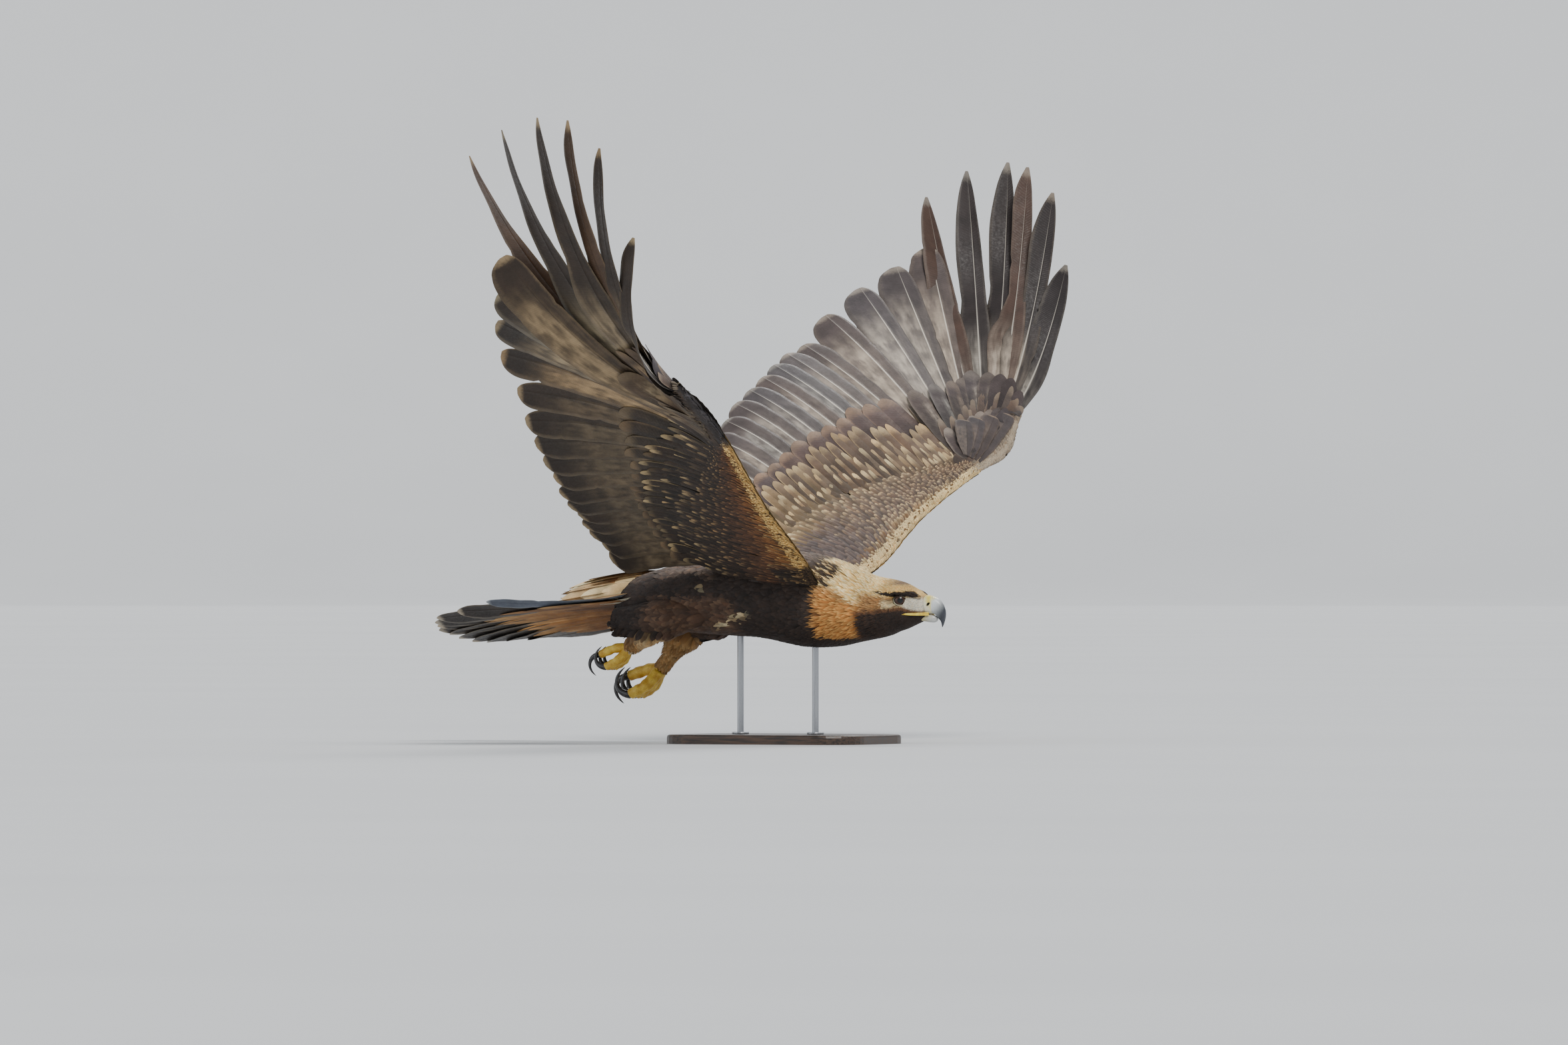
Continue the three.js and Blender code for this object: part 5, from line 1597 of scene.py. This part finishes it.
def build_lids(word, centre, look):
    """A rolled lid edge on the eyeball, low in front, which runs out under the feathers round it."""
    # The eye's own frame: level runs towards the bill and rise runs up.
    level = Vector((look.y, -look.x, 0)).normalized()
    level = -level if level.x < 0 else level
    rise = level.cross(look)
    rise = -rise if rise.z < 0 else rise
    base, level, rise, look = np.array(centre) / MM, np.array(level), np.array(rise), np.array(look)
    count = 56
    points, lid_tone_and_shade = [], []
    for reach, radius in LID_ROWS:
        for i in range(count):
            angle = 2 * math.pi * i / count
            wide = 9.0 * math.copysign(abs(math.cos(angle)) ** 0.9, math.cos(angle)) * reach
            tall = (5.4 if math.sin(angle) > 0 else 7.0) * math.sin(angle) * reach
            out = math.sqrt(max(radius**2 - wide**2 - tall**2, 4.0))
            points.append(base + level * wide + rise * tall + look * out)
            # The lid is pale below and at its front in its own colour, and dark on top as painted shade under
            # the brow.
            pale = min(max(0.5 - 0.5 * math.sin(angle) + 0.2 * math.cos(angle), 0), 1)
            lid_tone_and_shade.append(mix(srgb(46, 36, 29), srgb(196, 188, 158), pale * (1.0 if reach < 1.2 else 0.8)))
    lid = new_mesh("lids_" + word, points, ring_quads(len(LID_ROWS), count), LID)
    give_colour(lid.data, "Col", np.array(lid_tone_and_shade))
    settle(lid, "cere")


def lean(a, b):
    return math.atan2(-(b[2] - a[2]), b[0] - a[0])


def drawn_path(name, path, sizes, material, sides, flat=1.0, smooth=1):
    """Stations along a path: each ring faces the way the path goes."""
    rows = []
    for i, (spot, size) in enumerate(zip(path, sizes)):
        angle = lean(path[max(0, i - 1)], path[min(len(path) - 1, i + 1)])
        before = rows[-1][3] if rows else angle
        while angle - before > math.pi:
            angle -= 2 * math.pi
        while angle - before < -math.pi:
            angle += 2 * math.pi
        rows.append((spot, size * flat, size, angle))
    return drawn_out(name, sides, rows, material, smooth)


# A talon from the toe's tip: (back, up) and thickness, for a foot of full size.
TALON = (
    (4, -1, 5.6), (0, 0, 6.4), (-9, 1.5, 6.0), (-17, 6, 5.0), (-21.5, 14, 4.0), (-22, 24, 3.1), (-17, 34, 2.0),
    (-7, 42, 0.5),
)


def build_feet():
    for word, plan in LEGS.items():
        size, hand = plan["size"], math.copysign(1, plan["y"])
        foot = joint(plan, "foot")
        toes = []
        for index, splay in enumerate((None, -1, 0, 1), 1):
            hind = splay is None
            out = 10 * hand if hind else splay * 20 * size
            drop = 0 if hind else -26 * size
            reach = (58 if hind else 42) * size
            knuckle = foot + np.array([-reach * 0.4, out * 0.7, drop * 0.9])
            tip = foot + np.array([-reach, out, drop * 1.45 - (10 if hind else 0)])
            t = np.linspace(0, 1, 19)
            path = along([(0, foot), (0.5, knuckle), (1, tip)], t)
            pads = 0.55 * np.sin(t * np.pi * 9) + 0.9 * np.sin(t * np.pi * 3 + 0.6) ** 2
            sizes = (mix(10.2, 8.0, t) + pads) * size
            toes.append(drawn_path("toe_%d_%s" % (index, word), path, sizes, TOE, 12, 0.92))
            turn = -1 if hind else 1
            line = [tuple(tip + np.array([dx * size, 0, turn * dz * size])) for dx, dz, _ in TALON]
            thick = [row[2] * size for row in TALON]
            claw = drawn_path("talon_%d_%s" % (index, word), line, thick, CLAW, 12, 0.8, 2)
            settle(claw, "claw", "claw_%s_%d" % (word, index))
        only(toes[0])
        for toe in toes:
            toe.select_set(True)
        bpy.ops.object.join()
        made = bpy.context.object
        rename(made, "toes_" + word)
        settle(made, "toe_skin", "foot_" + word)


def build_skin():
    """One skin for the trunk, the legs and the flesh of the wings, grown together by a remesh."""
    sheets = [Sheet(plan, wing_bow) for plan in WINGS.values()]
    skin = new_mesh("skin", *joined(body_shells(*(wing_shell(sheet) for sheet in sheets))), SKIN)
    only(skin)
    edited(bpy.ops.mesh.normals_make_consistent, inside=False)
    skin.data.remesh_voxel_size = 3.0 * MM
    bpy.ops.object.voxel_remesh()
    for side, _ in SIDES:
        centre, look = eye_axis(side)
        bore(
            skin, "socket", "FAST", segments=32, ring_count=20, radius=SOCKET_RADIUS * MM,
            location=centre + look * 2.0 * MM,
        )
    only(skin)
    modified(skin, "relax", "SMOOTH", factor=0.5, iterations=3)
    bpy.ops.object.shade_smooth()
    clothe(skin, SKIN)
    co = np.empty(len(skin.data.vertices) * 3, np.float32)
    skin.data.vertices.foreach_get("co", co)
    p = co.reshape(-1, 3) / MM
    col, _ = skin_colour(p)
    reach = np.abs(p[:, 1])
    col = mix(col, srgb(54, 42, 34), step(84, 100, reach)[:, None])
    for plan in WINGS.values():
        edge = along(plan["leading"], np.linspace(0, 1, 60))
        away = np.hypot(*(p[:, i] - np.interp(reach, edge[:, 1], edge[:, i]) for i in (0, 2)))
        near = step(28, 14, away) * step(90, 104, reach) * (p[:, 1] * plan["side"] > 0)
        tone = mix(srgb(190, 146, 84), srgb(74, 67, 66), step(422, 442, reach)[:, None])
        # On the near wing, the skin by the body takes the painted shade of the hollow.
        if plan["side"] < 0:
            tone = mix(tone, PAINTED_HOLLOW_SHADE, step(118, 108, reach)[:, None])
        col = mix(col, tone, near[:, None])
    give_colour(skin.data, "Col", col)
    settle(skin, "plumage", "torso", "neck", "head", "thigh_right", "thigh_left", "shank_right", "shank_left")


def build_body_coat():
    tree = tree_of(body_shells())
    for name, low, high in (
        ("body_feathers", TAIL_X, NECK_X), ("neck_feathers", NECK_X, HEAD_X), ("head_feathers", HEAD_X, FACE_X),
    ):
        coat = Coat()
        body_feathers(coat, tree, low, high)
        coat.make(name, BODY_PLUME, "plumage")
    coat = Coat()
    for plan in LEGS.values():
        leg_feathers(coat, tree, plan)
    coat.make("leg_feathers", BODY_PLUME, "plumage")


def dress_stand():
    for name, look in (("stand_base", WOOD), ("stand_rod_front", STEEL), ("stand_rod_rear", STEEL)):
        clothe(bpy.data.objects[name], look)
    for x, word in ((52, "front"), (-72, "rear")):
        bpy.ops.mesh.primitive_cylinder_add(
            vertices=48, radius=13 * MM, depth=3 * MM, location=(x * MM, 0, 15.9 * MM),
        )
        collar = bpy.context.object
        rename(collar, "stand_collar_" + word)
        edited(bpy.ops.mesh.bevel, offset=0.9 * MM, segments=3, affect="EDGES")
        bpy.ops.object.transform_apply(location=True, rotation=True, scale=True)
        bpy.ops.object.shade_smooth_by_angle(angle=math.radians(35))
        collar.data.materials.append(STEEL)
        settle(collar, "stand_steel")


# ---- studio ----
# The bowl that is the floor: flat part, radius of its curved rim, in metres, and corners round it.
BOWL_FLAT, BOWL_CURVE, BOWL_SIDES = 44, 5, 96


def build_studio():
    scene = bpy.context.scene
    back = Vector((math.sin(AZIMUTH), -math.cos(AZIMUTH), 0))
    camera = bpy.data.cameras.new("camera")
    camera.sensor_width = 36
    camera.lens = camera.sensor_width * DISTANCE / SEEN_WIDTH
    camera.clip_end = 200
    eye = bpy.data.objects.new("camera", camera)
    eye.location = AIM + back * DISTANCE
    eye.rotation_euler = back.to_track_quat("Z", "Y").to_euler()
    scene.collection.objects.link(eye)
    scene.camera = eye
    # A wide shallow bowl, so that every view has the bird on a plain floor with its rim far behind.
    rings = [(0.01, 0.0), (4.0, 0.0), (16.0, 0.0)]
    for a in np.linspace(0, math.pi / 2, 16):
        rings.append((BOWL_FLAT + BOWL_CURVE * math.sin(a), BOWL_CURVE - BOWL_CURVE * math.cos(a)))
    turns = np.linspace(0, 2 * math.pi, BOWL_SIDES, endpoint=False)
    points = [(r * math.cos(t) / MM, r * math.sin(t) / MM, z / MM) for r, z in rings for t in turns]
    floor = new_mesh("studio_floor", points, ring_quads(len(rings), BOWL_SIDES), FLOOR)
    for name, spot, soft, power, colour in (
        ("key", (1.8, -1.8, 2.6), 22, 2.3, (1.0, 0.97, 0.93)),
        ("fill", (-2.6, -2.6, 0.9), 40, 0.5, (0.9, 0.95, 1.0)),
        ("rim", (-0.6, 2.6, 2.6), 25, 1.3, (1.0, 0.99, 0.97)),
    ):
        lamp = bpy.data.lights.new(name, "SUN")
        lamp.angle, lamp.energy, lamp.color = math.radians(soft), power, colour
        obj = bpy.data.objects.new(name, lamp)
        obj.location = spot
        obj.rotation_euler = Vector(spot).to_track_quat("Z", "Y").to_euler()
        scene.collection.objects.link(obj)
    world = bpy.data.worlds.new("studio")
    world.use_nodes = True
    sky = world.node_tree.nodes["Background"]
    sky.inputs["Color"].default_value = (0.80, 0.84, 0.88, 1)
    sky.inputs["Strength"].default_value = 0.66
    scene.world = world


build_studio()
dress_stand()
build_bill()
build_eyes()
build_feet()
build_skin()
build_body_coat()
for word, plan in WINGS.items():
    build_wing(word, plan)
build_tail()
